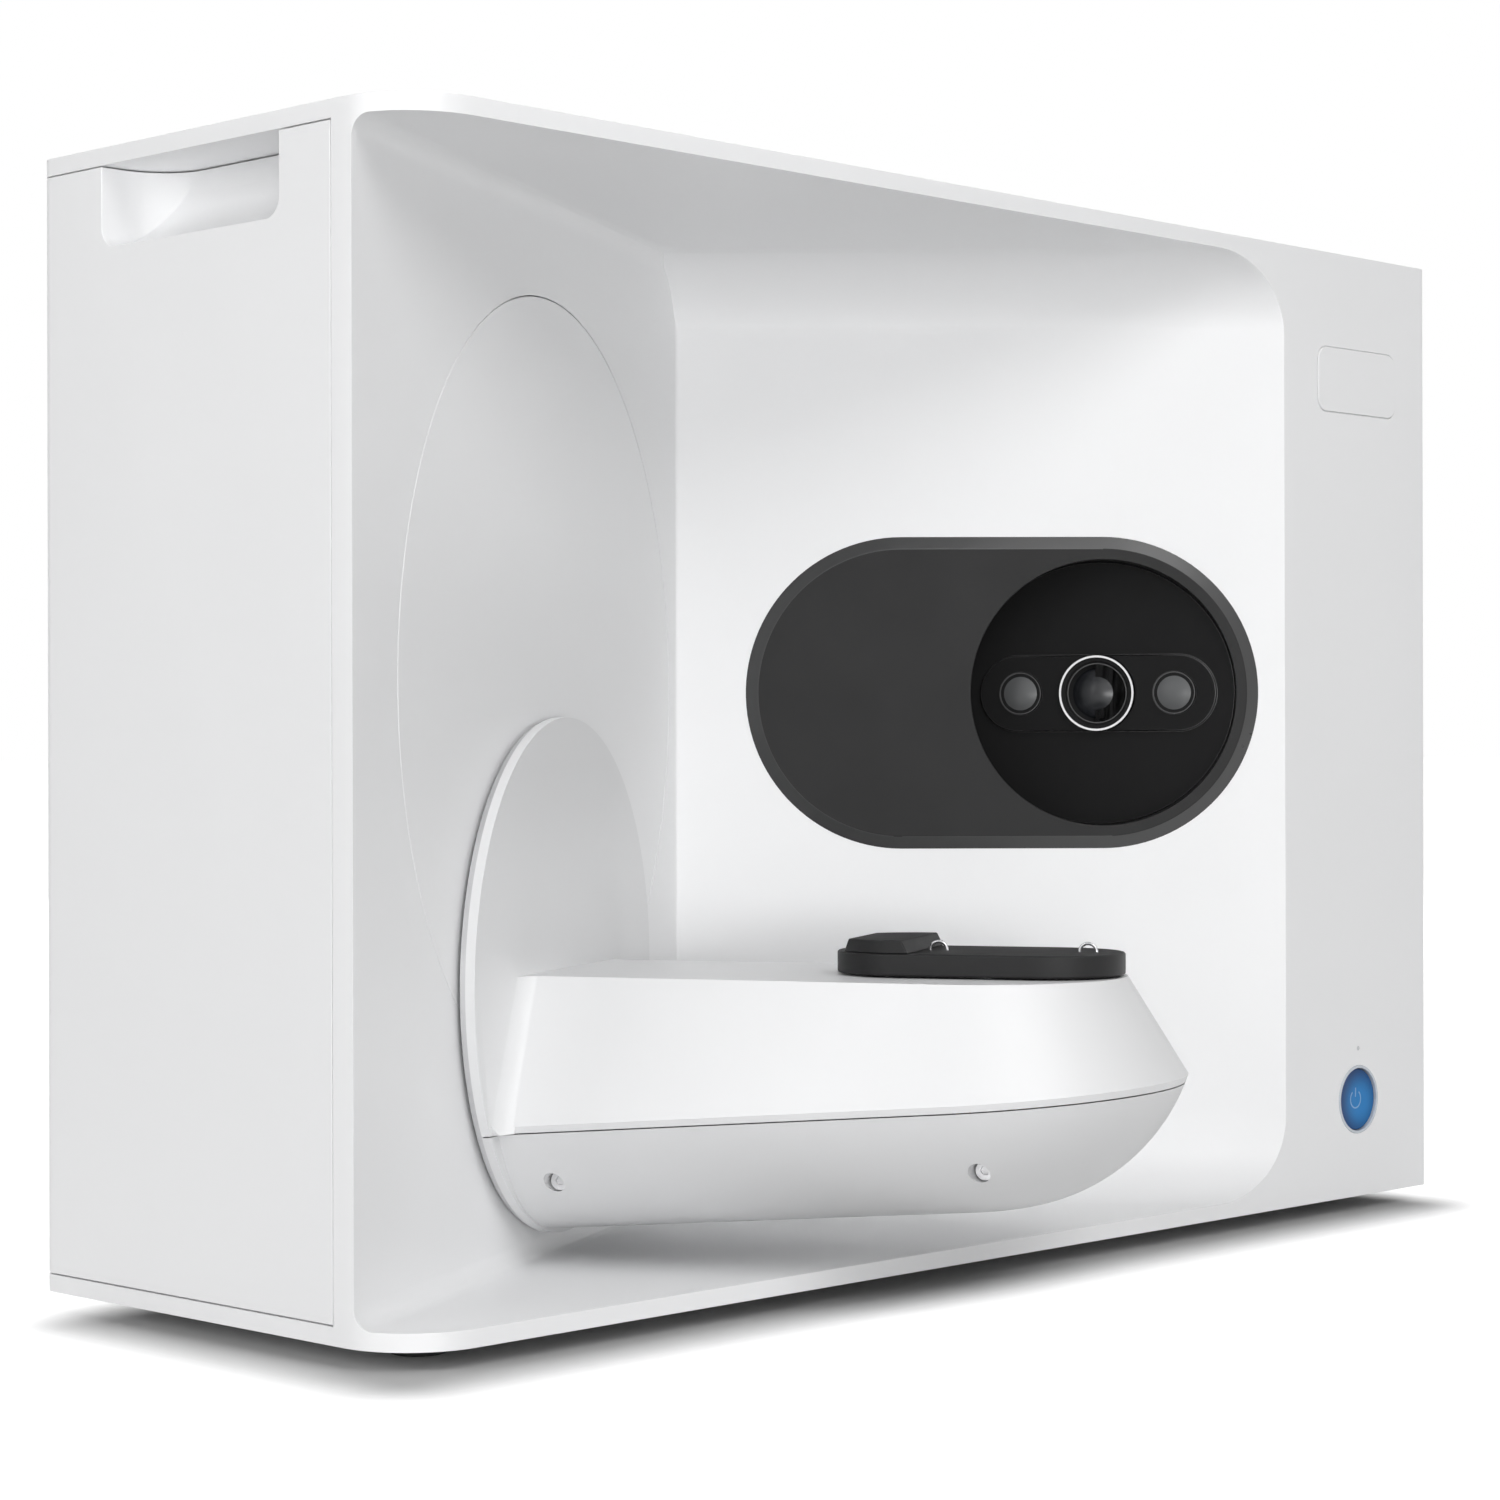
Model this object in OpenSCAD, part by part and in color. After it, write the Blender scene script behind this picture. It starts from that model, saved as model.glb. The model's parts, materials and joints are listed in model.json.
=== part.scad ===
// Desktop dental lab scanner: a white cabinet with an open triangular scan
// chamber, a swing arm that carries a turntable, and a structured-light
// camera unit that looks at the point where both axes cross.
// Cabinet frame: x from the left side, y from the front plane to the back,
// z up from the underside of the cabinet.

/* [Cabinet] */
// Width of the cabinet
body_w = 494; // [470:1:540]
// Depth of the cabinet
body_d = 170; // [160:1:186]
// Height of the cabinet without its feet
body_h = 340; // [325:1:380]
// Thickness of the top and bottom plates, the lips of the opening
lip_t = 5.2; // [4:0.1:7]
// Thickness of the moulded walls
wall = 3.5; // [2.5:0.1:4.5]
// Plan radius of the front left corner
corner_r = 25; // [15:1:28]
// Radius of the front right upright edge
edge_r = 3; // [1:0.5:4]
// Radius of the rear upright edges
rear_edge_r = 7; // [4:0.5:8]
// Height of a rubber foot
foot_h = 6; // [4:0.5:10]
// Diameter of a rubber foot
foot_d = 20; // [14:1:26]
// Distance from a cabinet edge to the axis of a foot
foot_inset = 32; // [26:1:45]

/* [Side and rear covers] */
// Thickness of a side panel
panel_t = 3; // [2:0.1:4]
// Visible seam round a cover
seam = 0.4; // [0.2:0.1:0.8]
// Distance from the front plane to the side panels
panel_y = 30; // [28:0.5:36]
// Width of the ledge behind a panel edge
ledge_w = 6; // [4:0.5:9]
// Thickness of that ledge
ledge_t = 2.5; // [2:0.1:4]
// Length of the finger scoop
scoop_l = 84; // [70:1:95]
// Depth and height of the finger scoop
scoop_r = 24.3; // [18:0.1:28]
// Plan radius of the scoop's inner corners
scoop_corner = 16; // [8:0.5:18]
// Distance from the front plane to the middle of the scoop
scoop_y = 95; // [90:0.5:105]
// Thickness of the rear cover
rear_t = 3; // [2:0.1:4]
// Screw diameter of the rear cover
rear_screw_d = 4; // [3:0.5:5]

/* [Scan chamber] */
// Setback of the opening's left edge from the front plane
post_y = 21.4; // [19:0.2:25]
// Width of the front column beside the opening
column_w = 90.3; // [86:0.1:98]
// Angle of the camera wall to the front plane
camera_wall_angle = 45; // [43:0.5:47]
// Distance from the chamber's rear corner to the back of the cabinet
rear_gap = 18.1; // [16:0.1:22]
// Fillet between the camera wall and the floor and ceiling
chamber_fillet = 27; // [15:1:32]
// Fillet between the disc wall and the floor and ceiling
wall_fillet = 6; // [3:0.5:6]
// Upright fillet of the chamber's rear corner
corner_fillet = 2; // [1:0.5:5]

/* [Swing arm] */
// Wall left between the swing disc and the left edge of the opening
disc_left = 32; // [26:0.5:40]
// Wall left between the swing disc and the rear corner
disc_right = 7.6; // [7:0.1:12]
// Wall left between the swing disc and the ceiling
disc_top = 30.8; // [26:0.2:36]
// Wall left between the swing disc and the chamber floor
disc_low = 54.8; // [50:0.2:60]
// Running gap round the swing disc
disc_gap = 0.4; // [0.3:0.1:0.8]
// Radius of the arm flange
flange_r = 80.5; // [76:0.5:84]
// Thickness of the arm flange
flange_t = 5; // [4:0.1:7]
// Gap between the flange and the disc wall
flange_gap = 1.5; // [1:0.1:3]
// Gap between the flange and the chamber floor
flange_floor = 6.3; // [4:0.1:9]
// Fillet between the sides of the arm's upper cover and the flange
flare_r = 9; // [6:0.5:12]
// Height of the arm's top face over the middle of the flange
arm_over = 2; // [0:0.5:4]
// Half width of the arm at its crease
arm_half_w = 62.5; // [58:0.5:64]
// Distance of the crease below the arm's top face, on the turntable axis
seam_depth = 33.8; // [31:0.1:36]
// Distance of the seam between the two covers below the crease
seam_lip = 2.5; // [1.5:0.1:3.5]
// Rise of the crease towards the nose, in degrees
arm_tilt = 4.2; // [3:0.1:6]
// Inward slope of the upper cover's sides
arm_slope = 0.52; // [0.4:0.01:0.6]
// Depth of the lower cover below the crease
belly_depth = 36.7; // [32:0.1:38]
// Radius of the lower cover's section
belly_r = 60; // [56:0.5:66]
// Wall of the two arm covers
cover_t = 2.5; // [2:0.1:3.5]

/* [Turntable] */
// Length of the jig plate
jig_l = 88; // [80:1:92]
// Width of the jig plate
jig_w = 47; // [40:0.5:54]
// Thickness of the jig plate
jig_t = 6.7; // [5:0.1:9]
// Gap between the jig plate and the arm
jig_gap = 0.6; // [0.4:0.1:1.5]
// Radius of the turntable spindle
spindle_r = 8; // [6:0.5:9]

/* [Camera unit] */
// Distance from the rear corner to the camera bezel
bezel_left = 24.5; // [20:0.5:30]
// Distance from the camera bezel to the column's edge
bezel_right = 9.3; // [8:0.1:14]
// Height of the camera bezel
bezel_h = 110; // [104:1:114]
// Width of the bezel's sloping rim
bezel_rim = 4.5; // [3:0.1:6]
// Height of the bezel over the camera wall
bezel_rise = 2; // [1:0.1:3]
// Radius of the round lens recess
recess_r = 46.75; // [42:0.25:48]
// Depth of the centre lens behind the camera wall
lens_depth = 15; // [13:0.5:18]
// Length of the lens bar
bar_l = 85; // [80:1:88]
// Height of the lens bar
bar_h = 27; // [24:0.5:30]
// Radius of the centre lens barrel
barrel_r = 13.4; // [11:0.1:14]
// Radius of a side lens barrel
eye_r = 7.5; // [6:0.1:9]
// Distance of a side lens from the centre lens
eye_pitch = 27.7; // [25:0.1:30]

/* [Front controls] */
// Diameter of the power button
button_d = 22; // [18:0.5:26]
// Height of the power button over the underside
button_z = 35; // [30:0.5:50]
// Travel of the power button
button_travel = 1.5; // [1:0.1:3]
// Diameter of the status light
led_d = 1.6; // [1.2:0.1:3]
// Distance of the status light over the power button
led_rise = 18.5; // [16:0.5:25]
// Length of the bare badge plate
badge_l = 49; // [40:0.5:55]
// Height of the bare badge plate
badge_h = 23; // [18:0.5:28]
// Distance of the badge plate's middle below the top
badge_drop = 45.5; // [35:0.5:60]

/* [Drives] */
// Gear module of both drives
gear_m = 1.2; // [1:0.1:1.3]
// Teeth of the swing gear
swing_teeth = 60; // [54:2:64]
// Teeth of the table gear
table_teeth = 50; // [44:2:52]
// Teeth of each motor pinion
pinion_teeth = 15; // [14:1:16]
// Radius of the swing shaft
shaft_r = 10; // [8:0.5:12]
// Radial running clearance of a shaft in its bearing
run_fit = 0.05; // [0.02:0.01:0.1]
// Width of the swing motor's square face
motor_w = 42.3; // [38:0.1:43]
// Width of the table motor's square face
table_motor_w = 35; // [30:0.5:36]

/* [Hidden] */
$fn = 96;
eps = 1;
big = 900;

// Plan geometry of the chamber
ceiling_z = body_h - lip_t;
inner_h = body_h - 2 * lip_t;
cam_dir = [cos(camera_wall_angle), -sin(camera_wall_angle)];
cam_back = [sin(camera_wall_angle), cos(camera_wall_angle)];
open_left = [0, post_y];
open_right = [body_w - column_w, 0];
corner_y = body_d - rear_gap;
cam_wall_l = corner_y / sin(camera_wall_angle);
rear_corner = open_right - cam_wall_l * cam_dir;
disc_wall = rear_corner - open_left;
disc_wall_l = norm(disc_wall);
disc_wall_angle = atan2(disc_wall.y, disc_wall.x);
disc_dir = disc_wall / disc_wall_l;
disc_out = [disc_dir.y, -disc_dir.x];

// The swing disc fills its wall in width or in height
swing_disc_r = min(disc_wall_l - disc_left - disc_right, inner_h - disc_top - disc_low) / 2;
swing_z = lip_t + disc_low + swing_disc_r;
swing_at = rear_corner - (swing_disc_r + disc_right) * disc_dir;

// The optical axis runs along the disc wall, over the turntable axis
bezel_l = cam_wall_l - bezel_left - bezel_right;
recess_x = (bezel_l - bezel_h) / 2;
bezel_at = open_right - (bezel_right + bezel_l / 2) * cam_dir;
lens_at = bezel_at + recess_x * cam_dir + lens_depth * cam_back;
lens_turn = disc_wall_angle + camera_wall_angle - 90;
table_reach = (lens_at - open_left) * disc_out;
table_at = swing_at + table_reach * disc_out;

// The row's origin is under the middle of the whole object's box
nose_reach = arm_half_w * norm([sin(disc_wall_angle), cos(arm_tilt) * cos(disc_wall_angle)]);
front_reach = nose_reach - table_at.y;
row_y = (body_d - front_reach) / 2;

side_t = panel_t + ledge_t;
column_x = body_w - column_w / 2;
chassis_t = 2;
chassis_top = lip_t + chassis_t;

flange_z = lip_t + flange_floor + flange_r;
flange_drop = swing_z - flange_z;
flange_plate_t = 2;
flange_skin = flange_gap + flange_plate_t;
flange_front = flange_gap + flange_t;
arm_top_z = flange_z + arm_over;
seam_z = arm_top_z - seam_depth;
jig_z = arm_top_z + jig_gap;
jig_top = jig_z + jig_t;
belly_zc = belly_r - belly_depth;
belly_xc = arm_half_w - sqrt(belly_r * belly_r - belly_zc * belly_zc);

// From the cabinet frame to the object's own frame
module in_cabinet() { translate([-body_w / 2, -row_y, foot_h]) children(); }

// x along the disc wall, y behind it, z over the underside
module at_swing() { translate([swing_at.x, swing_at.y, 0]) rotate([0, 0, disc_wall_angle]) children(); }

// Origin on the turntable axis, in the tilted plane of the crease
module at_arm() { at_swing() translate([0, -table_reach, seam_z]) rotate([-arm_tilt, 0, 0]) children(); }

// x along the camera wall, y behind it, origin at the middle of the bezel
module at_camera() {
    translate([bezel_at.x, bezel_at.y, swing_z]) rotate([0, 0, -camera_wall_angle]) children();
}

// y along the optical axis, away from the chamber
module at_lens() { at_camera() translate([recess_x, lens_depth, 0]) rotate([0, 0, lens_turn]) children(); }

module rod_y(r, y0, y1) { translate([0, y0, 0]) rotate([-90, 0, 0]) cylinder(r = r, h = y1 - y0); }
module rod_x(r, x0, x1) { translate([x0, 0, 0]) rotate([0, 90, 0]) cylinder(r = r, h = x1 - x0); }
module slab_y(y0, y1) { translate([0, y1, 0]) rotate([90, 0, 0]) linear_extrude(y1 - y0) children(); }
module box(x0, x1, y0, y1, z0, z1) { translate([x0, y0, z0]) cube([x1 - x0, y1 - y0, z1 - z0]); }

module stadium(l, h) {
    square([l - h, h], center = true);
    for (s = [-1, 1]) translate([s * (l - h) / 2, 0]) circle(r = h / 2);
}

// Removes the tip of a right-angled corner at the origin, leaving radius r
module corner_cut(r) {
    difference() {
        translate([-eps, -eps]) square(r + eps);
        translate([r, r]) circle(r = r);
    }
}

module rounded_box_2d(l, h, r) {
    difference() {
        square([l, h], center = true);
        translate([-l / 2, -h / 2]) corner_cut(r);
        translate([l / 2, -h / 2]) rotate(90) corner_cut(r);
        translate([l / 2, h / 2]) rotate(180) corner_cut(r);
        translate([-l / 2, h / 2]) rotate(270) corner_cut(r);
    }
}

// Plan of the cabinet
module outline_2d() {
    difference() {
        square([body_w, body_d]);
        corner_cut(corner_r);
        translate([body_w, 0]) rotate(90) corner_cut(edge_r);
        translate([body_w, body_d]) rotate(180) corner_cut(rear_edge_r);
        translate([0, body_d]) rotate(270) corner_cut(rear_edge_r);
    }
}

// Rear corner of the chamber, moved out of it by g
function corner_off(g) = rear_corner + g / sin(disc_wall_angle + camera_wall_angle)
    * [cos(disc_wall_angle) - cos(camera_wall_angle), sin(disc_wall_angle) + sin(camera_wall_angle)];

// Plan of the chamber and the space before it, grown by g behind both walls
module chamber_plan(g) {
    ahead = 60;
    polygon([
        open_left - g * disc_out - ahead * disc_dir,
        corner_off(g),
        open_right + g * cam_back + ahead * cam_dir,
        [open_right.x + ahead, -3 * ahead],
        [-ahead, -3 * ahead]
    ]);
}

// Chamber plan with its rear corner filleted
module chamber_floor_2d() {
    pivot = corner_off(-corner_fillet);
    far = corner_fillet + eps;
    difference() {
        chamber_plan(0);
        difference() {
            polygon([pivot, pivot - far * disc_out, corner_off(eps), pivot + far * cam_back]);
            translate(pivot) circle(r = corner_fillet);
        }
    }
}

// Section of the chamber across a wall that lies at x = 0
module chamber_section_2d(fillet) {
    difference() {
        translate([-big, lip_t]) square([big, inner_h]);
        translate([0, lip_t]) rotate(90) corner_cut(fillet);
        translate([0, ceiling_z]) rotate(180) corner_cut(fillet);
    }
}

// That section drawn along a wall through a plan point
module along_wall(at, angle, fillet) {
    translate([at.x, at.y, 0]) rotate([0, 0, angle]) rotate([90, 0, 90])
        translate([0, 0, -big / 2]) linear_extrude(big) chamber_section_2d(fillet);
}

module scan_chamber() {
    intersection() {
        linear_extrude(body_h) chamber_floor_2d();
        along_wall(open_right, -camera_wall_angle, chamber_fillet);
        along_wall(open_left, disc_wall_angle, wall_fillet);
    }
}

// Plan of the space behind the chamber walls
module cavity_plan(inset, back) {
    difference() {
        translate([side_t + inset, wall + inset])
            square([body_w - 2 * (side_t + inset), back - wall - inset]);
        chamber_plan(wall + inset);
    }
}

// Side panels and their openings, drawn for the left side
bowl_t = 2.5;
bowl_l = scoop_l + 2 * bowl_t;
scoop_foot_r = 6;

module mirrored() { translate([body_w, 0, 0]) mirror([1, 0, 0]) children(); }

module panel_opening() {
    box(-eps, panel_t, panel_y, body_d + eps, lip_t, ceiling_z);
    box(panel_t - eps, side_t + eps, panel_y + ledge_w, body_d + eps, lip_t + ledge_w, ceiling_z - ledge_w);
    box(panel_t - eps, side_t + eps, scoop_y - bowl_l / 2 - seam, scoop_y + bowl_l / 2 + seam,
        ceiling_z - ledge_w - eps, ceiling_z);
    box(panel_t - eps, side_t + eps, rear_y, body_d + eps, lip_t, ceiling_z);
}

// Space of a finger scoop grown by g: a quarter round with rounded ends
module scoop_space(g) {
    r = scoop_r + g;
    l = scoop_l + 2 * g;
    intersection() {
        translate([0, 0, ceiling_z]) rod_y(r, scoop_y - l / 2 - eps, scoop_y + l / 2 + eps);
        translate([0, scoop_y, 0]) linear_extrude(body_h) difference() {
            translate([-eps, -l / 2]) square([r + eps, l]);
            translate([r, -l / 2]) rotate(90) corner_cut(scoop_corner);
            translate([r, l / 2]) rotate(180) corner_cut(scoop_corner);
        }
        translate([-2 * eps, scoop_y, ceiling_z - r]) rotate([90, 0, 90])
            linear_extrude(2 * r) difference() {
                translate([-l / 2, 0]) square([l, r + 2 * eps]);
                translate([-l / 2, 0]) corner_cut(scoop_foot_r);
                translate([l / 2, 0]) rotate(90) corner_cut(scoop_foot_r);
            }
    }
}

module side_panel() {
    difference() {
        union() {
            intersection() {
                box(0, panel_t, panel_y + seam, body_d, lip_t + seam, ceiling_z - seam);
                linear_extrude(body_h) outline_2d();
            }
            intersection() {
                scoop_space(bowl_t);
                box(0, body_w, 0, body_d, 0, ceiling_z - seam);
            }
        }
        scoop_space(0);
    }
}

// Rear cover screws: x and the plate that holds each boss
boss_w = 14;
boss_d = 9;
boss_h = 12;
rear_inset = 2.2;
rear_y = body_d - rear_inset - rear_t;
boss_edge = 60;
boss_low = [boss_edge, body_w - boss_edge];
boss_high = [boss_edge, body_w / 2, body_w - boss_edge];
boss_at = concat(
    [for (x = boss_low) [x, lip_t + boss_h / 2]],
    [for (x = boss_high) [x, ceiling_z - boss_h / 2]]
);

module rear_bosses(g) {
    for (p = boss_at) box(p.x - boss_w / 2 - g, p.x + boss_w / 2 + g, rear_y - boss_d - g, rear_y,
        p.y - boss_h / 2 - g, p.y + boss_h / 2 + g);
}

module at_rear_screws() {
    for (p = boss_at) translate([p.x, 0, p.y]) children();
}

// Front controls
ring_gap = 0.3;
ring_t = 1;
ring_in = button_d / 2 + ring_gap;
ring_out = ring_in + ring_t;
badge_t = 1.2;
badge_sink = 0.8;
badge_corner = 5;
badge_gap = 0.35;
fit = 0.1;
at_button = [column_x, 0, button_z];
at_led = [column_x, 0, button_z + led_rise];
at_badge = [column_x, 0, body_h - badge_drop];

// Main moulding: top and bottom plates, chamber walls and front column
module front_shell() {
    color("white") in_cabinet() difference() {
        union() {
            difference() {
                linear_extrude(body_h) outline_2d();
                scan_chamber();
                translate([0, 0, lip_t]) linear_extrude(inner_h) cavity_plan(0, body_d + eps);
            }
            rear_bosses(0);
        }
        panel_opening();
        mirrored() panel_opening();
        at_swing() translate([0, 0, swing_z]) rod_y(swing_disc_r + disc_gap, -eps, wall + eps);
        at_camera() slab_y(-eps, wall + eps) stadium(bezel_l - 2 * bezel_lap, bezel_h - 2 * bezel_lap);
        translate(at_button) rod_y(ring_out + run_fit, -eps, wall + eps);
        translate(at_led) rod_y(led_d / 2 + run_fit, -eps, wall + eps);
        translate(at_badge) slab_y(-eps, badge_sink)
            rounded_box_2d(badge_l + 2 * badge_gap, badge_h + 2 * badge_gap, badge_corner + badge_gap);
        at_rear_screws() rod_y(rear_screw_d / 2, rear_y - boss_d + eps, rear_y + eps);
    }
}

module left_side_panel() { color("whitesmoke") in_cabinet() side_panel(); }
module right_side_panel() { color("whitesmoke") in_cabinet() mirrored() side_panel(); }

// Rear cover with its vents, ports and board posts
vent_l = 70;
vent_w = 3;
vent_pitch = 8;
vent_rows = 9;
vent_drop = 70;
vent_edge = 123.5;
vent_z = body_h - vent_drop;
vent_x = [vent_edge, body_w - vent_edge];
board_l = 130;
board_h = 100;
board_t = 1.6;
board_edge = 129;
board_gap = 14.4;
board_x = body_w - board_edge;
board_z = 120;
board_y = rear_y - board_gap - board_t;
post_r = 3;
post_in = 8;
usb_w = 13;
usb_h = 12;
usb_hole = 8;
usb_depth = 8;
usb_in = 25;
usb_up = 10;
usb_at = [board_x - board_l / 2 + usb_in, board_z - board_h / 2 + usb_up];
inlet_w = 28;
inlet_h = 22;
inlet_lip = 4;
inlet_lip_t = 1.5;
inlet_wall = 2.75;
inlet_d = 20;
inlet_floor = 6;
inlet_corner = 3;
inlet_edge = 60;
inlet_z = 45;
inlet_at = [body_w - inlet_edge, inlet_z];
pin_w = 2;
pin_h = 4;
pin_pitch = 7;
screw_play = 0.2;

module at_board_posts() {
    across = board_l / 2 - post_in;
    up = board_h / 2 - post_in;
    for (x = [-across, across], z = [-up, up]) translate([board_x + x, 0, board_z + z]) children();
}

module rear_cover() {
    color("gainsboro") in_cabinet() difference() {
        union() {
            box(panel_t + seam, body_w - panel_t - seam, rear_y, rear_y + rear_t,
                lip_t + seam, ceiling_z - seam);
            at_board_posts() rod_y(post_r, board_y + board_t, rear_y + eps);
        }
        at_rear_screws() rod_y(rear_screw_d / 2 + screw_play, rear_y - eps, rear_y + rear_t + eps);
        for (x = vent_x, i = [0 : vent_rows - 1])
            translate([x, 0, vent_z - (i - (vent_rows - 1) / 2) * vent_pitch])
                slab_y(rear_y - eps, rear_y + rear_t + eps) stadium(vent_l, vent_w);
        translate([usb_at.x, 0, usb_at.y]) slab_y(rear_y - eps, rear_y + rear_t + eps)
            square([usb_w + 2 * fit, usb_h + 2 * fit], center = true);
        translate([inlet_at.x, 0, inlet_at.y]) slab_y(rear_y - eps, rear_y + rear_t + eps)
            square([inlet_w + 2 * fit, inlet_h + 2 * fit], center = true);
    }
}

module rear_screws() {
    head_h = 2;
    head_r = 0.9 * rear_screw_d;
    socket_d = 0.8 * rear_screw_d;
    face = rear_y + rear_t;
    color("silver") in_cabinet() at_rear_screws() difference() {
        union() {
            rod_y(rear_screw_d / 2, rear_y - boss_d + 2 * eps, face);
            rod_y(head_r, face, face + head_h);
        }
        slab_y(face + head_h / 2, face + head_h + eps) circle(d = socket_d, $fn = 6);
    }
}

// Steel floor plate that carries the drive, the optics and the supply
module chassis_plate() {
    color("silver") in_cabinet() difference() {
        translate([0, 0, lip_t]) linear_extrude(chassis_t) cavity_plan(eps, rear_y - eps);
        rear_bosses(eps);
    }
}

// Foot with a hollow for its screw
module foot_profile() {
    hollow_r = 3.5;
    hollow_h = 3;
    draft = 1;
    rim = 2;
    polygon([
        [hollow_r, 0],
        [foot_d / 2 - rim, 0],
        [foot_d / 2 - draft, draft],
        [foot_d / 2, foot_h],
        [0, foot_h],
        [0, hollow_h],
        [hollow_r, hollow_h]
    ]);
}

module feet() {
    color("black") in_cabinet()
        for (x = [foot_inset, body_w - foot_inset], y = [foot_inset, body_d - foot_inset])
            translate([x, y, -foot_h]) rotate_extrude() foot_profile();
}

module badge_plate() {
    color("white") in_cabinet() translate(at_badge)
        slab_y(badge_sink - badge_t, badge_sink) rounded_box_2d(badge_l, badge_h, badge_corner);
}

// Power button, its bezel ring, switch holder and status light
ring_rise = 0.3;
ring_flange_t = 1.2;
ring_flange_w = 2;
button_sink = 0.6;
button_dish = 0.7;
button_flange_y = wall + ring_flange_t;
button_flange_t = 2;
button_flange_w = 1;
button_back = button_flange_y + button_flange_t;
switch_gap = 0.3;
switch_y = button_back + button_travel + switch_gap;
holder_w = 36;
holder_h = 12;
holder_t = 3;
plunger_r = 3;
plunger_l = 0.2;

module button_ring() {
    color("gray") in_cabinet() translate(at_button) difference() {
        union() {
            rod_y(ring_out, -ring_rise, wall + ring_flange_t);
            rod_y(ring_out + ring_flange_w, wall, wall + ring_flange_t);
        }
        rod_y(ring_in, -eps, wall + 2 * ring_flange_t);
    }
}

// Button with a dished face, sunk a little into its ring
module power_button() {
    half = button_d / 2;
    ball = (half * half + button_dish * button_dish) / (2 * button_dish);
    color("steelblue") in_cabinet() translate(at_button) rotate([90, 0, 0]) rotate_extrude() difference() {
        union() {
            translate([0, -button_flange_y]) square([half, button_flange_y - button_sink]);
            translate([0, -button_back]) square([ring_out + button_flange_w, button_flange_t]);
        }
        translate([0, ball - button_dish - button_sink]) circle(r = ball);
    }
}

module button_switch() {
    color("dimgray") in_cabinet() translate(at_button) {
        for (x = [-holder_w / 2, holder_w / 2 - holder_t])
            box(x, x + holder_t, wall, switch_y + holder_t, -holder_h / 2, holder_h / 2);
        box(-holder_w / 2, holder_w / 2, switch_y, switch_y + holder_t, -holder_h / 2, holder_h / 2);
        rod_y(plunger_r, switch_y - plunger_l, switch_y + eps);
    }
}

module status_led() {
    flange_r0 = 2.2;
    flange_l = 3;
    color("white") in_cabinet() translate(at_led) {
        rod_y(led_d / 2, 0, wall + eps);
        rod_y(flange_r0, wall, wall + flange_l);
    }
}

// Camera unit
bezel_fit = 0.2;
bezel_lap = 3;
bezel_back = wall + 2;
hood_t = 2.75;
hood_back = 36;
lens_plate_t = 4;
bar_rise = 1.5;
barrel_t = 2.2;
barrel_l = 46;
eye_t = 2.7;
eye_l = 18;
barrel_rise = 2.5;
ring_w = 0.7;
ring_l = 0.8;
lens_crown = 3;
lens_sink = 2;
lens_t = 4;
eye_rise = 2.2;
eye_crown = 1.2;
eye_sink = 0.5;
eye_lens_t = 3;
module_w = 18;
module_h = 22;
module_l = 22;
engine_w = 52;
engine_d = 40;
engine_h = 46;
fin_t = 2;
fin_pitch = 5;
fin_d = 8;
shelf_t = 3;
stand_w = 40;
stand_foot = 22;

module bezel_rim_solid() {
    flat = (bezel_l - bezel_h) / 2;
    for (s = [-1, 1]) translate([s * flat, 0, 0]) rotate([90, 0, 0])
        cylinder(h = bezel_rise, r1 = bezel_h / 2, r2 = bezel_h / 2 - bezel_rim);
    translate([-flat, 0, 0]) rotate([90, 0, 90]) linear_extrude(2 * flat) polygon([
        [0, -bezel_h / 2],
        [0, bezel_h / 2],
        [-bezel_rise, bezel_h / 2 - bezel_rim],
        [-bezel_rise, bezel_rim - bezel_h / 2]
    ]);
}

module camera_bezel() {
    inner = 2 * (bezel_lap + bezel_fit);
    color("dimgray") in_cabinet() at_camera() difference() {
        union() {
            bezel_rim_solid();
            slab_y(0, bezel_back) stadium(bezel_l - inner, bezel_h - inner);
        }
        translate([recess_x, 0, 0]) rod_y(recess_r, -bezel_rise - eps, bezel_back + eps);
    }
}

module lens_hood() {
    color("black") in_cabinet() at_camera() translate([recess_x, 0, 0]) difference() {
        rod_y(recess_r + hood_t, bezel_back, hood_back);
        rod_y(recess_r, bezel_back - eps, hood_back + eps);
    }
}

module at_eyes() { for (s = [-1, 1]) translate([s * eye_pitch, 0, 0]) children(); }

module lens_plate() {
    color("black") in_cabinet() difference() {
        union() {
            intersection() {
                at_camera() translate([recess_x, 0, 0]) rod_y(recess_r - run_fit, -eps, hood_back);
                at_lens() slab_y(0, lens_plate_t) square(4 * recess_r, center = true);
            }
            at_lens() slab_y(-bar_rise, eps) stadium(bar_l, bar_h);
        }
        at_lens() rod_y(barrel_r + run_fit, -2 * bar_rise, lens_plate_t + eps);
        at_lens() at_eyes() rod_y(eye_r + run_fit, -2 * bar_rise, lens_plate_t + eps);
    }
}

module tube_y(r, t, y0, y1) {
    difference() {
        rod_y(r, y0, y1);
        rod_y(r - t, y0 - eps, y1 + eps);
    }
}

// Plano-convex lens whose crown points at the chamber
module crown_lens(r, crown, y0, t) {
    ball = (r * r + crown * crown) / (2 * crown);
    intersection() {
        rod_y(r, y0 - crown - eps, y0 + t);
        translate([0, y0 - crown + ball, 0]) sphere(r = ball);
    }
}

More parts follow.
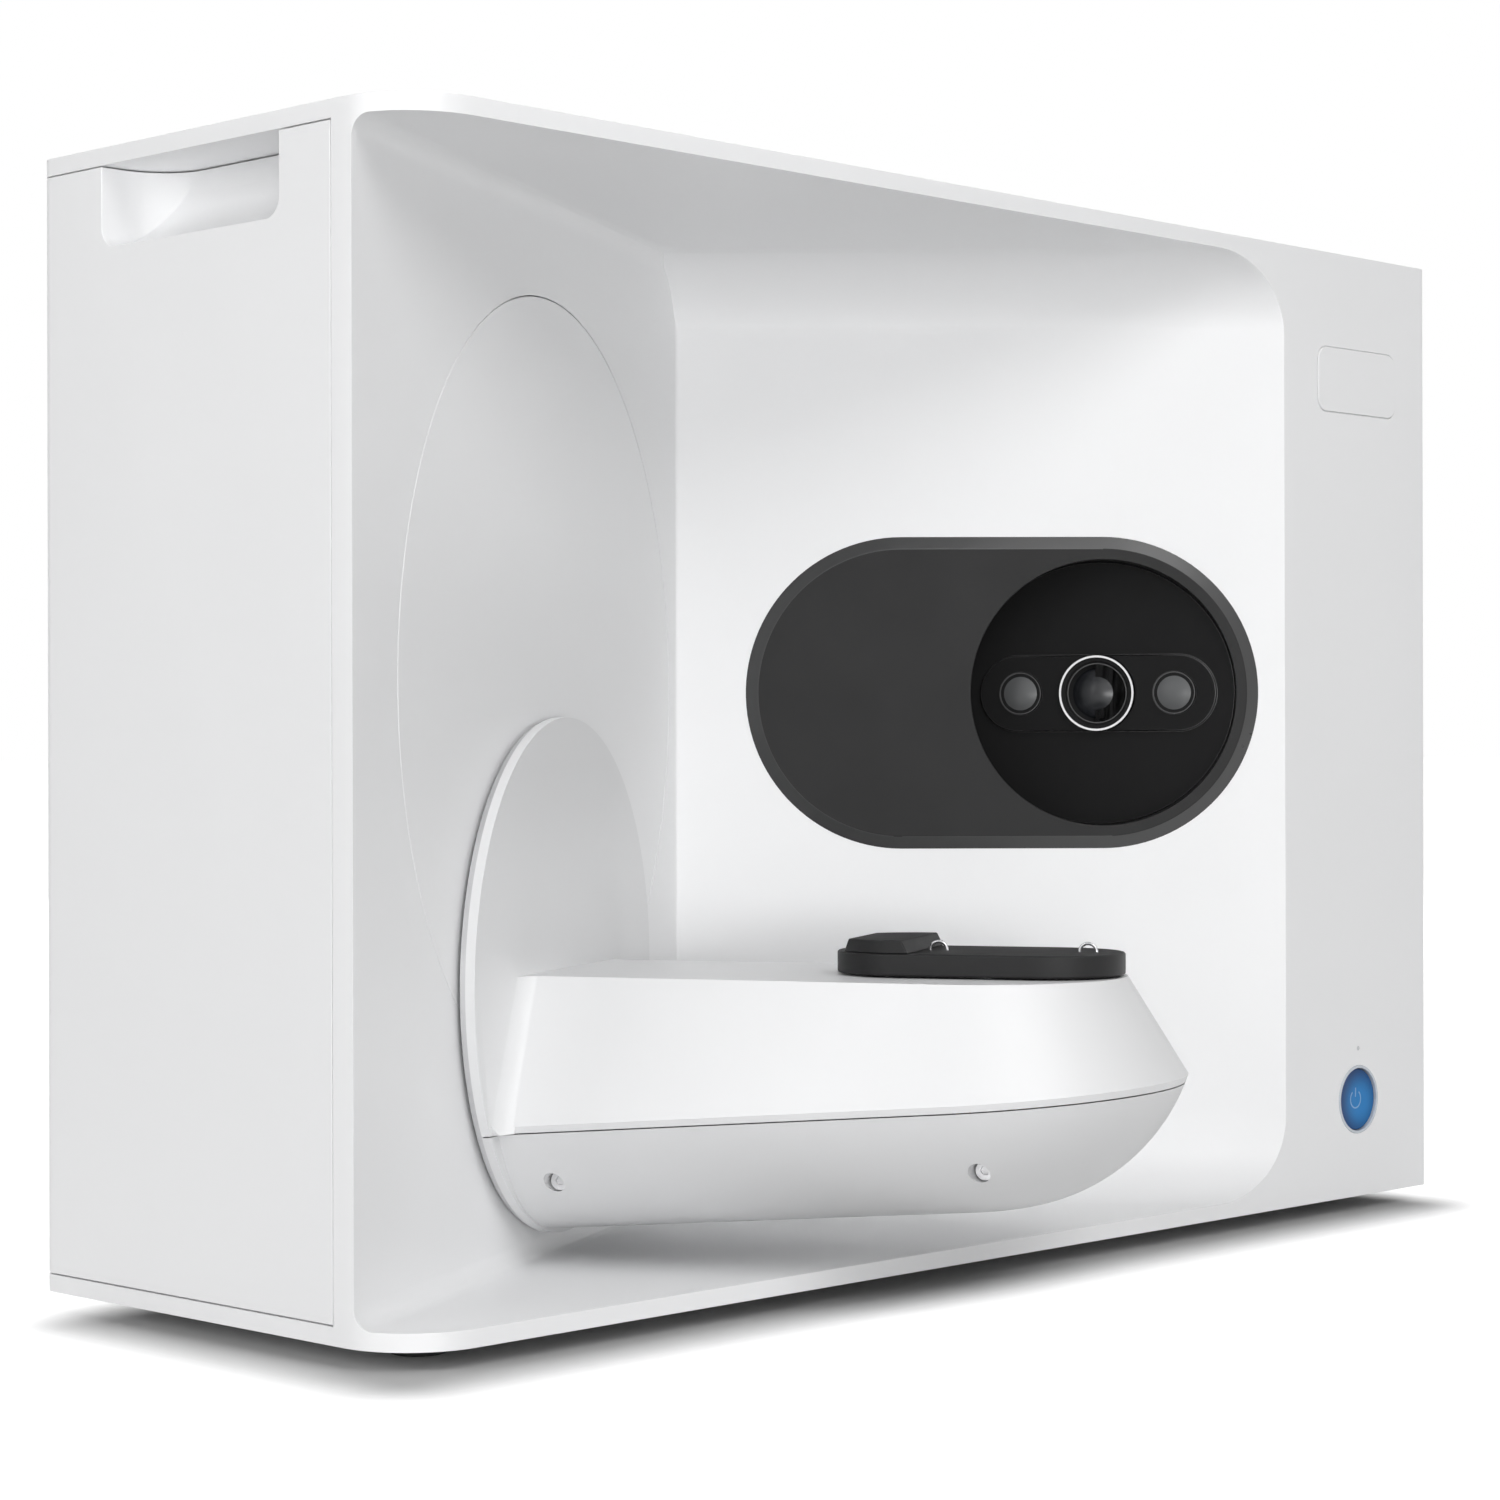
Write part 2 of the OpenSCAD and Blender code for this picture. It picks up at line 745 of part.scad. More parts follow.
module projector_barrel() {
    color("black") in_cabinet() at_lens() tube_y(barrel_r, barrel_t, -barrel_rise, barrel_l);
}
module projector_ring() {
    color("silver") in_cabinet() at_lens() tube_y(barrel_r, ring_w, -barrel_rise - ring_l, -barrel_rise);
}
module projector_lens() {
    color("darkslategray") in_cabinet() at_lens()
        crown_lens(barrel_r - barrel_t - run_fit, lens_crown, lens_sink, lens_t);
}
module camera_barrels() {
    color("black") in_cabinet() at_lens() at_eyes() tube_y(eye_r, eye_t, -eye_rise, eye_l);
}
module camera_lenses() {
    color("darkslategray") in_cabinet() at_lens() at_eyes()
        crown_lens(eye_r - eye_t - run_fit, eye_crown, eye_sink, eye_lens_t);
}
module camera_modules() {
    color("dimgray") in_cabinet() at_lens() at_eyes()
        box(-module_w / 2, module_w / 2, eye_l, eye_l + module_l, -module_h / 2, module_h / 2);
}

module projector_engine() {
    fins = floor((engine_w - fin_t) / fin_pitch / 2);
    color("gray") in_cabinet() at_lens() {
        box(-engine_w / 2, engine_w / 2, barrel_l, barrel_l + engine_d, -engine_h / 2, engine_h / 2);
        for (i = [-fins : fins])
            box(i * fin_pitch - fin_t / 2, i * fin_pitch + fin_t / 2, barrel_l + engine_d - eps,
                barrel_l + engine_d + fin_d, -engine_h / 2, engine_h / 2);
    }
}

module optics_stand() {
    top = -engine_h / 2;
    foot = chassis_top - swing_z;
    mid = barrel_l + engine_d / 2;
    color("silver") in_cabinet() at_lens() {
        box(-engine_w / 2, engine_w / 2, barrel_l, barrel_l + engine_d, top - shelf_t, top);
        box(-stand_w / 2, stand_w / 2, mid - shelf_t / 2, mid + shelf_t / 2, foot, top - shelf_t + eps);
        box(-stand_w / 2, stand_w / 2, mid - stand_foot, mid + shelf_t / 2, foot, foot + shelf_t);
    }
}

// Electronics on the right and at the back
chip_sink = 0.5;
processor = [30, 30, 3];
processor_at = [0, 5];
memory = [16, 16, 2];
memory_at = [36, 0];
header = [6, 24, 8];
header_at = [-47, 32];
header_pitch = 9;
headers = 4;
supply_w = 44;
supply_l = 74;
supply_h = 50;
supply_side = 2;
supply_back = 8.8;

// A part on the board: width, height and rise, at a place on it
module on_board(size, at) {
    translate([at.x, board_y, at.y])
        box(-size.x / 2, size.x / 2, -size.z, chip_sink, -size.y / 2, size.y / 2);
}

module main_board() {
    color("darkgreen") in_cabinet() translate([board_x, 0, board_z]) {
        box(-board_l / 2, board_l / 2, board_y, board_y + board_t, -board_h / 2, board_h / 2);
        on_board(processor, processor_at);
        on_board(memory, memory_at);
        for (i = [0 : headers - 1]) on_board(header, header_at + [i * header_pitch, 0]);
    }
}

module usb_port() {
    half = usb_hole / 2;
    color("silver") in_cabinet() translate([usb_at.x, 0, usb_at.y]) difference() {
        box(-usb_w / 2, usb_w / 2, board_y + board_t, rear_y + rear_t, -usb_h / 2, usb_h / 2);
        box(-half, half, rear_y - usb_depth, rear_y + rear_t + eps, -half, half);
    }
}

module power_inlet() {
    color("black") in_cabinet() translate([inlet_at.x, 0, inlet_at.y]) {
        difference() {
            union() {
                box(-inlet_w / 2, inlet_w / 2, rear_y - inlet_d, rear_y + rear_t,
                    -inlet_h / 2, inlet_h / 2);
                slab_y(rear_y + rear_t, rear_y + rear_t + inlet_lip_t)
                    rounded_box_2d(inlet_w + 2 * inlet_lip, inlet_h + 2 * inlet_lip, inlet_corner);
            }
            slab_y(rear_y - inlet_d + inlet_floor, body_d + eps)
                square([inlet_w - 2 * inlet_wall, inlet_h - 2 * inlet_wall], center = true);
        }
        for (x = [-pin_pitch, 0, pin_pitch])
            box(x - pin_w / 2, x + pin_w / 2, rear_y - inlet_d + inlet_floor - eps, rear_y,
                -pin_h / 2, pin_h / 2);
    }
}

module power_supply() {
    right = body_w - side_t - supply_side;
    back = rear_y - inlet_d - supply_back;
    color("silver") in_cabinet()
        box(right - supply_w, right, back - supply_l, back, chassis_top, chassis_top + supply_h);
}

// Involute teeth, with a little play on each flank
pressure = 20;
tooth_play = 0.1;
tooth_tip = 0.9;
tooth_root = 1.2;
function involute(a) = tan(a) * 180 / PI - a;
function pitch_r(teeth) = gear_m * teeth / 2;
function half_tooth(teeth, r) = let (rp = pitch_r(teeth), rb = rp * cos(pressure))
    90 / teeth - tooth_play / rp * 180 / PI + involute(pressure) - involute(acos(rb / max(r, rb)));
function polar(r, a) = [r * cos(a), r * sin(a)];
function tooth_radii(teeth) = let (rp = pitch_r(teeth))
    [rp - tooth_root * gear_m, rp - 0.5 * gear_m, rp, rp + 0.5 * gear_m, rp + tooth_tip * gear_m];
function gear_points(teeth) = [
    for (i = [0 : teeth - 1], side = [-1, 1], k = [0 : 4])
        let (r = tooth_radii(teeth)[side < 0 ? k : 4 - k])
            polar(r, i * 360 / teeth + side * half_tooth(teeth, r))
];

module gear_2d(teeth, phase) { rotate(phase) polygon(gear_points(teeth)); }

swing_pitch = pitch_r(swing_teeth) + pitch_r(pinion_teeth);
table_pitch = pitch_r(table_teeth) + pitch_r(pinion_teeth);
pinion_phase = 180 / pinion_teeth;
motor_shaft_r = 2.5;
push_fit = 0.02;

// Swing drive behind the disc wall: the gears run between the disc and the bracket
hub_flange_r = 30;
hub_flange_t = 4.5;
gear_w = 8;
gear_gap = 2;
swing_gear_y = wall + hub_flange_t;
bracket_y = swing_gear_y + gear_w + gear_gap;
bracket_t = 4;
bracket_back = bracket_y + bracket_t;
bracket_side = 5;
bracket_right = 46;
bracket_top = 45;
bracket_foot = 20;
bracket_rib = 90;
bearing_r = 19;
bearing_l = 25;
bearing_flange_r = 22;
bearing_flange_t = 5;
shaft_end = bracket_y + bearing_l + gear_gap;
motor_l = 34;
motor_corner = 5;
pilot_r = 11;
pilot_gap = 0.5;

module in_swing() { in_cabinet() at_swing() children(); }
module on_axis() { in_swing() translate([0, 0, swing_z]) children(); }

module swing_bracket() {
    left = swing_pitch + motor_w / 2 + bracket_side;
    low = chassis_top - swing_z;
    foot = bracket_back + bracket_foot;
    color("silver") on_axis() difference() {
        union() {
            box(-left, bracket_right, bracket_y, bracket_back, low, bracket_top);
            box(-left, bracket_right, bracket_y, foot, low, low + bracket_t);
            for (x = [-left, bracket_right - bracket_t])
                translate([x, 0, 0]) rotate([90, 0, 90]) linear_extrude(bracket_t) polygon([
                    [bracket_y, low],
                    [foot, low],
                    [bracket_back, low + bracket_rib],
                    [bracket_y, low + bracket_rib]
                ]);
        }
        rod_y(bearing_r + run_fit, bracket_y - eps, bracket_back + eps);
        translate([-swing_pitch, 0, 0]) rod_y(pilot_r + pilot_gap, bracket_y - eps, bracket_back + eps);
    }
}

module swing_bearing() {
    color("gray") on_axis() difference() {
        union() {
            rod_y(bearing_r, bracket_y, bracket_y + bearing_l);
            rod_y(bearing_flange_r, bracket_back, bracket_back + bearing_flange_t);
        }
        rod_y(shaft_r + run_fit, bracket_y - eps, bracket_y + bearing_l + eps);
    }
}

module swing_motor() {
    color("dimgray") on_axis() translate([-swing_pitch, 0, 0]) difference() {
        union() {
            slab_y(bracket_back, bracket_back + motor_l) rounded_box_2d(motor_w, motor_w, motor_corner);
            rod_y(pilot_r, bracket_y + eps, bracket_back + eps);
        }
        rod_y(motor_shaft_r + run_fit, bracket_y, bracket_back + motor_l + eps);
    }
}

module swing_pinion() {
    color("goldenrod") on_axis() translate([-swing_pitch, 0, 0]) {
        slab_y(swing_gear_y, swing_gear_y + gear_w) gear_2d(pinion_teeth, pinion_phase);
        rod_y(motor_shaft_r, swing_gear_y, bracket_back + motor_l);
    }
}

module swing_disc() { color("white") on_axis() rod_y(swing_disc_r, 0, wall); }

module swing_shaft() {
    color("silver") on_axis() {
        rod_y(hub_flange_r, wall, wall + hub_flange_t);
        rod_y(shaft_r, wall, shaft_end);
    }
}

module swing_gear() {
    color("goldenrod") on_axis() difference() {
        slab_y(swing_gear_y, swing_gear_y + gear_w) gear_2d(swing_teeth, 180);
        rod_y(shaft_r + push_fit, swing_gear_y - eps, swing_gear_y + gear_w + eps);
    }
}

// Swing arm
flange_lap = 4;
pad_edge = 12.5;
pad_high = flange_drop - flange_r + flange_lap;
pad_low = swing_disc_r - pad_edge;
pad_r = (pad_low - pad_high) / 2;
pad_drop = (pad_low + pad_high) / 2;
flange_plate_in = 1;
arm_seam = 0.4;
arm_rise = 60;
arm_past = 20;
arm_l = table_reach + arm_past;
hub_r = 13;
hub_gap = 1;

// Plate that carries the arm, and the pad that holds it off the disc wall
module arm_flange() {
    color("silver") in_swing() {
        translate([0, 0, flange_z]) rod_y(flange_r - flange_plate_in, -flange_skin, -flange_gap);
        translate([0, 0, swing_z - pad_drop]) rod_y(pad_r, -flange_gap - eps / 2, 0);
    }
}

// Right half of the upper section, inset by g: a sloping side over a narrow lip
module upper_2d(g) {
    half = arm_half_w - g;
    narrow = half - arm_slope * arm_rise;
    foot = belly_xc + sqrt(pow(belly_r - g, 2) - pow(belly_zc + seam_lip, 2));
    polygon([[0, -seam_lip], [foot, -seam_lip], [half, 0], [narrow, arm_rise], [0, arm_rise]]);
}

module upper_form(g) {
    rotate_extrude() upper_2d(g);
    rotate([90, 0, 180]) linear_extrude(arm_l) {
        upper_2d(g);
        mirror([1, 0]) upper_2d(g);
    }
}

// Right half of the lower section, inset by g, up to a height over the crease
module belly_2d(g, top) {
    intersection() {
        union() {
            translate([belly_xc, belly_zc]) circle(r = belly_r - g);
            translate([0, -belly_depth + g]) square([belly_xc, belly_depth]);
        }
        translate([0, -belly_depth]) square([2 * belly_r, belly_depth + top]);
    }
}

module lower_form(g, top) {
    rotate_extrude() belly_2d(g, top);
    rotate([90, 0, 180]) linear_extrude(arm_l) {
        belly_2d(g, top);
        mirror([1, 0]) belly_2d(g, top);
    }
}

// Space under the arm's top face, inset by g, up to y = back
module arm_room(g, back) { at_swing() box(-big / 2, big / 2, -big, back, -big / 2, arm_top_z - g); }

// Flange skin, which both covers share
module flange_skin_form() { translate([0, 0, flange_z]) rod_y(flange_r, -flange_front, -flange_skin); }

// Fillet from the upper cover's sides to the flange; it meets both faces at a small angle.
// The belly lies so close to the flange's rim that it needs none.
flare_bite = 0.5;
flare_c = flare_r - flare_bite;
flare_reach = flare_c - sqrt(flare_r * flare_r - flare_c * flare_c);
flare_edge = 1.5;
flare_rim = flange_r - flare_edge;
flare_seam_z = seam_z - (table_reach - flange_front) * tan(arm_tilt);

// All that lies on the arm's side of a face at x = 0, with its fillet to the flange at y = 0
module flare_2d(depth) {
    difference() {
        translate([-depth, -flare_reach]) square([depth + flare_reach, flare_reach + eps]);
        translate([flare_c, -flare_c]) circle(r = flare_r);
    }
}

module flare_side() {
    translate([arm_half_w, 0, flare_seam_z]) rotate([0, -atan(arm_slope), 0])
        translate([0, 0, -big / 2]) linear_extrude(big) flare_2d(big / 2);
}

module upper_flare() {
    translate([0, -flange_front, 0]) intersection() {
        flare_side();
        mirror([1, 0, 0]) flare_side();
        translate([0, 0, flange_z]) rod_y(flare_rim, -2 * flare_reach, eps);
    }
}

// Side screws of the lower cover: distance from the disc wall, height, and the lug behind each
screw_reach = [20, table_reach + 10];
screw_drop = [27, 20.3];
screw_spots = [for (i = [0, 1]) [screw_reach[i], seam_z - screw_drop[i]]];
lug_in = [21.5, 27.5];
lug_face = [for (g = lug_in) arm_half_w - g];
lug_below = 3.5;
lug_t = [10, 3.5];
lug_w = 10;
lug_boss_r = 5;
screw_seat = 3;
screw_hole_r = 3.1;
screw_head_r = 2.8;
screw_head_h = 2.5;
screw_shank_r = 1.5;

module at_arm_screw(i) {
    for (s = [0, 1]) mirror([s, 0, 0]) translate([0, -screw_spots[i].x, screw_spots[i].y]) children();
}

module arm_upper_cover() {
    color("white") in_cabinet() difference() {
        union() {
            intersection() {
                union() {
                    at_arm() upper_form(0);
                    at_swing() upper_flare();
                }
                arm_room(0, -flange_skin - eps);
            }
            at_swing() flange_skin_form();
        }
        intersection() {
            at_arm() upper_form(cover_t);
            arm_room(cover_t, 0);
        }
        at_arm() box(-big / 2, big / 2, -big / 2, big / 2, -big / 2, arm_seam - seam_lip);
        at_swing() translate([0, -table_reach, 0]) cylinder(r = hub_r + hub_gap, h = body_h);
    }
}

module arm_lower_cover() {
    color("whitesmoke") in_cabinet() difference() {
        union() {
            intersection() {
                at_arm() lower_form(0, eps);
                arm_room(0, -flange_skin - eps);
            }
            at_swing() flange_skin_form();
        }
        at_arm() box(-big / 2, big / 2, -big / 2, big / 2, -seam_lip, big);
        difference() {
            at_arm() lower_form(cover_t, 2 * eps);
            for (i = [0, 1]) at_swing() at_arm_screw(i) rod_x(lug_boss_r, lug_face[i], arm_half_w);
        }
        for (i = [0, 1]) at_swing() at_arm_screw(i) {
            rod_x(screw_hole_r, lug_face[i] + screw_seat, arm_half_w + flare_r);
            rod_x(screw_shank_r + push_fit, lug_face[i] - eps, arm_half_w);
        }
    }
}

module arm_screws() {
    color("gray") in_swing() for (i = [0, 1]) at_arm_screw(i) {
        seat = lug_face[i] + screw_seat;
        rod_x(screw_shank_r, lug_face[i] - lug_t[1], seat + eps);
        rod_x(screw_head_r, seat, seat + screw_head_h);
    }
}

// Beam inside the arm, from the flange to the turntable bearing
beam_half = 36;
beam_t = 4;
beam_rise = 1.3;
beam_z = seam_z + beam_rise;
beam_top = beam_z + beam_t;
web_t = 3;
web_h = 10;
end_t = 5;
end_below = 36;
end_above = 22;
spindle_gap = 0.6;
motor_shaft_gap = 1;
table_bearing_r = 16;
table_bearing_h = 15;
table_bearing_top = beam_top + table_bearing_h;
table_motor_h = 20;
table_motor_corner = 4;
table_gear_w = 6.5;
table_gear_gap = 3;
table_gear_z = beam_z - table_gear_w - table_gear_gap;
hub_lift = 0.5;
shaft_short = 2;

module arm_frame() {
    color("silver") in_swing() difference() {
        union() {
            box(-beam_half, beam_half, -flange_skin - end_t, -flange_skin,
                beam_z - end_below, beam_z + end_above);
            box(-beam_half, beam_half, -table_reach, -flange_skin, beam_z, beam_top);
            translate([0, -table_reach, beam_z]) cylinder(r = beam_half, h = beam_t);
            for (x = [-beam_half, beam_half - web_t])
                box(x, x + web_t, -table_reach, -flange_skin, beam_z - web_h, beam_top);
            for (i = [0, 1]) at_arm_screw(i)
                box(lug_face[i] - lug_t[i], lug_face[i], -lug_w / 2, lug_w / 2, -lug_below,
                    beam_top - screw_spots[i].y);
        }
        translate([0, -table_reach, 0]) cylinder(r = spindle_r + spindle_gap, h = body_h);
        translate([0, table_pitch - table_reach, 0])
            cylinder(r = motor_shaft_r + motor_shaft_gap, h = body_h);
        for (i = [0, 1]) at_arm_screw(i)
            rod_x(screw_shank_r + push_fit, lug_face[i] - lug_t[i] - eps, lug_face[i] + eps);
    }
}

module on_table() { in_swing() translate([0, -table_reach, 0]) children(); }

module table_bearing() {
    color("gray") on_table() difference() {
        translate([0, 0, beam_top]) cylinder(r = table_bearing_r, h = table_bearing_top - beam_top);
        cylinder(r = spindle_r + run_fit, h = body_h);
    }
}

module table_motor() {
    color("dimgray") on_table() translate([0, table_pitch, 0]) difference() {
        translate([0, 0, beam_top]) linear_extrude(table_motor_h)
            rounded_box_2d(table_motor_w, table_motor_w, table_motor_corner);
        cylinder(r = motor_shaft_r + run_fit, h = body_h);
    }
}

module table_pinion() {
    color("goldenrod") on_table() translate([0, table_pitch, table_gear_z]) {
        linear_extrude(table_gear_w) gear_2d(pinion_teeth, pinion_phase - 90);
        cylinder(r = motor_shaft_r, h = beam_top + table_motor_h - table_gear_z - shaft_short);
    }
}

module table_gear() {
    color("goldenrod") on_table() translate([0, 0, table_gear_z])
        linear_extrude(table_gear_w) difference() {
            gear_2d(table_teeth, 90);
            circle(r = spindle_r + push_fit);
        }
}

module table_spindle() {
    color("silver") on_table() {
        translate([0, 0, table_gear_z]) cylinder(r = spindle_r, h = jig_z - table_gear_z);
        translate([0, 0, table_bearing_top + hub_lift])
            cylinder(r = hub_r, h = jig_z - table_bearing_top - hub_lift);
    }
}

// Jig plate, its locating block and the two wire hoops
block_span = [17, 39];
block_h = 4;
block_edge = 0.4;
block_slope = 2;
block_w = jig_w - 2 * block_edge;
hoop_y = [13, -33];
hoop_r = 2.6;
wire_r = 0.5;

module jig_plate() {
    color("black") on_table() translate([0, 0, jig_z])
        linear_extrude(jig_t) rotate(90) stadium(jig_l, jig_w);
}

module jig_block() {
    color("black") on_table() translate([0, 0, jig_top]) intersection() {
        linear_extrude(block_h) rotate(90) stadium(jig_l - 2 * block_edge, block_w);
        translate([-block_w / 2, 0, 0]) rotate([90, 0, 90]) linear_extrude(block_w) polygon([
            [block_span[0], 0],
            [block_span[1], 0],
            [block_span[1] - block_slope, block_h],
            [block_span[0] + block_slope, block_h]
        ]);
    }
}

module jig_wires() {
    color("silver") on_table() for (y = hoop_y) translate([0, y, jig_top]) intersection() {
        rotate([0, 90, 0]) rotate_extrude() translate([hoop_r, 0]) circle(r = wire_r, $fn = 24);
        translate([-hoop_r, -2 * hoop_r, 0]) cube([2 * hoop_r, 4 * hoop_r, 2 * hoop_r]);
    }
}

front_shell();
left_side_panel();
right_side_panel();
rear_cover();
rear_screws();
chassis_plate();
feet();
badge_plate();
button_ring();
power_button();
button_switch();
status_led();
camera_bezel();
lens_hood();
lens_plate();
projector_barrel();
projector_ring();
projector_lens();
camera_barrels();
camera_lenses();
camera_modules();
projector_engine();
optics_stand();
main_board();
usb_port();
power_inlet();
power_supply();
swing_bracket();
swing_bearing();
swing_motor();
swing_pinion();
swing_disc();
swing_shaft();
swing_gear();
arm_flange();
arm_upper_cover();
arm_lower_cover();
arm_screws();
arm_frame();
table_bearing();
table_motor();
table_pinion();
table_gear();
table_spindle();
jig_plate();
jig_block();
jig_wires();
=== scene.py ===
import json
import math

import bmesh
import bpy
from mathutils import Matrix, Vector


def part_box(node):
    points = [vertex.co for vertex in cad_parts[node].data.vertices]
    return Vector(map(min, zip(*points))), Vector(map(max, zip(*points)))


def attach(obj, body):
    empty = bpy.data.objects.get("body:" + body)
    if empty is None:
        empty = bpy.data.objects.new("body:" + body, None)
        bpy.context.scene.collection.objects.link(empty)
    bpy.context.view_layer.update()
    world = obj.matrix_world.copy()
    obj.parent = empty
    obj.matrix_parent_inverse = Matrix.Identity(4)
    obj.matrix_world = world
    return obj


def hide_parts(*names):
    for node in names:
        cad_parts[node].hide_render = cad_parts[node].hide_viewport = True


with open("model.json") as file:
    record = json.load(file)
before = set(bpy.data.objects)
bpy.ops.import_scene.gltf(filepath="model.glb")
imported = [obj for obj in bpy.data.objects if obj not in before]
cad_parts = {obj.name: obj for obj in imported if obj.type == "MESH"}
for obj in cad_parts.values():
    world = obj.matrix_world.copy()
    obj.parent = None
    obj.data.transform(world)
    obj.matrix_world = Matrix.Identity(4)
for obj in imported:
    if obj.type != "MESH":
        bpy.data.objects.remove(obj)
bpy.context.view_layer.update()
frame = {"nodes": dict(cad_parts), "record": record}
scene = bpy.context.scene
scene.view_settings.view_transform = "Standard"
node_body = {n: b for b, ns in frame["record"]["behaviour"]["bodies"].items() for n in ns}
node_slot = {s["node"]: s["material_slot"] for s in frame["record"]["subparts"]}
arm_swing = next(j for j in frame["record"]["behaviour"]["joints"] if j["name"] == "arm_swing")
mm = 0.001


# Shader building blocks

def add_node(tree, kind, **settings):
    made = tree.nodes.new(kind)
    for key, value in settings.items():
        setattr(made, key, value)
    return made


def new_group(name, inputs, outputs):
    group = bpy.data.node_groups.new(name, "ShaderNodeTree")
    for key, value in inputs.items():
        socket = group.interface.new_socket(key, in_out="INPUT", socket_type="NodeSocketFloat")
        socket.default_value = value
    for key in outputs:
        group.interface.new_socket(key, in_out="OUTPUT", socket_type="NodeSocketFloat")
    return group, add_node(group, "NodeGroupInput"), add_node(group, "NodeGroupOutput")


def noise(tree, vector, scale, detail=2.0, roughness=0.5):
    made = add_node(tree, "ShaderNodeTexNoise")
    tree.links.new(vector, made.inputs["Vector"])
    made.inputs["Detail"].default_value = detail
    made.inputs["Roughness"].default_value = roughness
    if isinstance(scale, (int, float)):
        made.inputs["Scale"].default_value = scale
    else:
        tree.links.new(scale, made.inputs["Scale"])
    return made.outputs["Fac"]


def moulded_skin_group():
    """Spark-eroded skin of a moulding: fine grain, slow mottling and handling haze."""
    group, given, out = new_group(
        "moulded_skin", {"Grain per metre": 2600.0, "Mottle per metre": 9.0}, ["Grain", "Mottle", "Haze"])
    place = add_node(group, "ShaderNodeTexCoord").outputs["Object"]
    group.links.new(noise(group, place, given.outputs["Grain per metre"], 3.0, 0.55), out.inputs["Grain"])
    group.links.new(noise(group, place, given.outputs["Mottle per metre"], 3.0), out.inputs["Mottle"])
    group.links.new(noise(group, place, 42.0, 4.0, 0.6), out.inputs["Haze"])
    return group


def brushed_group():
    """Fine lines of turned, brushed or rolled metal along one axis."""
    group, given, out = new_group(
        "brushed_lines", {"Lines per metre": 900.0, "Stretch": 0.03}, ["Lines", "Cloud"])
    place = add_node(group, "ShaderNodeTexCoord").outputs["Object"]
    stretch = add_node(group, "ShaderNodeCombineXYZ")
    stretch.inputs["X"].default_value = 1.0
    stretch.inputs["Y"].default_value = 1.0
    group.links.new(given.outputs["Stretch"], stretch.inputs["Z"])
    scaled = add_node(group, "ShaderNodeVectorMath", operation="MULTIPLY")
    group.links.new(place, scaled.inputs[0])
    group.links.new(stretch.outputs["Vector"], scaled.inputs[1])
    lines = noise(group, scaled.outputs["Vector"], given.outputs["Lines per metre"], 2.0)
    group.links.new(lines, out.inputs["Lines"])
    group.links.new(noise(group, place, 30.0, 3.0), out.inputs["Cloud"])
    return group


SKIN = moulded_skin_group()
BRUSHED = brushed_group()


def material(name, dark, light, rough, metallic=0.0, group=SKIN, sizes=None, bump=0.00002,
             colour_by="Mottle", rough_by="Haze", bump_by="Grain", **plain):
    """A Principled material whose colour, roughness and relief follow one shared group.

    The sizes are the material's own values for that group, bump is in metres, and a function given
    for colour_by makes a mask of its own.
    """
    made = bpy.data.materials.new(name)
    made.use_nodes = True
    tree = made.node_tree
    shader = tree.nodes["Principled BSDF"]
    shader.inputs["Metallic"].default_value = metallic
    for key, value in plain.items():
        shader.inputs[key.replace("_", " ")].default_value = value
    skin = add_node(tree, "ShaderNodeGroup", node_tree=group)
    for key, value in (sizes or {}).items():
        skin.inputs[key].default_value = value
    blend = add_node(tree, "ShaderNodeMix", data_type="RGBA")
    mask = colour_by(tree) if callable(colour_by) else skin.outputs[colour_by]
    tree.links.new(mask, blend.inputs["Factor"])
    blend.inputs["A"].default_value = (*dark, 1.0)
    blend.inputs["B"].default_value = (*light, 1.0)
    tree.links.new(blend.outputs["Result"], shader.inputs["Base Color"])
    spread = add_node(tree, "ShaderNodeMapRange")
    tree.links.new(skin.outputs[rough_by], spread.inputs["Value"])
    spread.inputs["To Min"].default_value = rough[0]
    spread.inputs["To Max"].default_value = rough[1]
    tree.links.new(spread.outputs["Result"], shader.inputs["Roughness"])
    relief = add_node(tree, "ShaderNodeBump")
    relief.inputs["Distance"].default_value = bump
    tree.links.new(skin.outputs[bump_by], relief.inputs["Height"])
    tree.links.new(relief.outputs["Normal"], shader.inputs["Normal"])
    return made


def distance_mask(tree, steps, reach):
    """A mask that rises from 0 to 1 over a reach of distance, in metres.

    The distance is the length that is left of the Object coordinates after steps of vector maths.
    """
    place = add_node(tree, "ShaderNodeTexCoord").outputs["Object"]
    for operation, value in steps:
        step = add_node(tree, "ShaderNodeVectorMath", operation=operation)
        tree.links.new(place, step.inputs[0])
        if value is not None:
            step.inputs[1].default_value = value
        place = step.outputs["Vector"]
    distance = add_node(tree, "ShaderNodeVectorMath", operation="LENGTH")
    tree.links.new(place, distance.inputs[0])
    mask = add_node(tree, "ShaderNodeMapRange", interpolation_type="SMOOTHSTEP")
    tree.links.new(distance.outputs["Value"], mask.inputs["Value"])
    mask.inputs["From Min"].default_value, mask.inputs["From Max"].default_value = reach
    return mask


# Place and reach of the light painted into the button's colour: a bright middle fading to a navy rim.
BUTTON_PAINTED_GLOW_SHIFT = Vector((2.2, 0.0, -1.0)) * mm
BUTTON_PAINTED_GLOW_REACH = (3.0 * mm, 13.0 * mm)


def painted_button_glow_mask(tree):
    """Mask of a painted glow: 0 where painted light gathers in the button, a little right of its middle,
    and 1 at its rim.
    """
    low, high = (Vector(c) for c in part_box("power_button"))
    painted_glow_middle = (low + high) / 2 + BUTTON_PAINTED_GLOW_SHIFT
    in_face = Vector((1.0, 0.0, 1.0))
    mask = distance_mask(tree, (("SUBTRACT", painted_glow_middle), ("MULTIPLY", in_face)), BUTTON_PAINTED_GLOW_REACH)
    return mask.outputs["Result"]


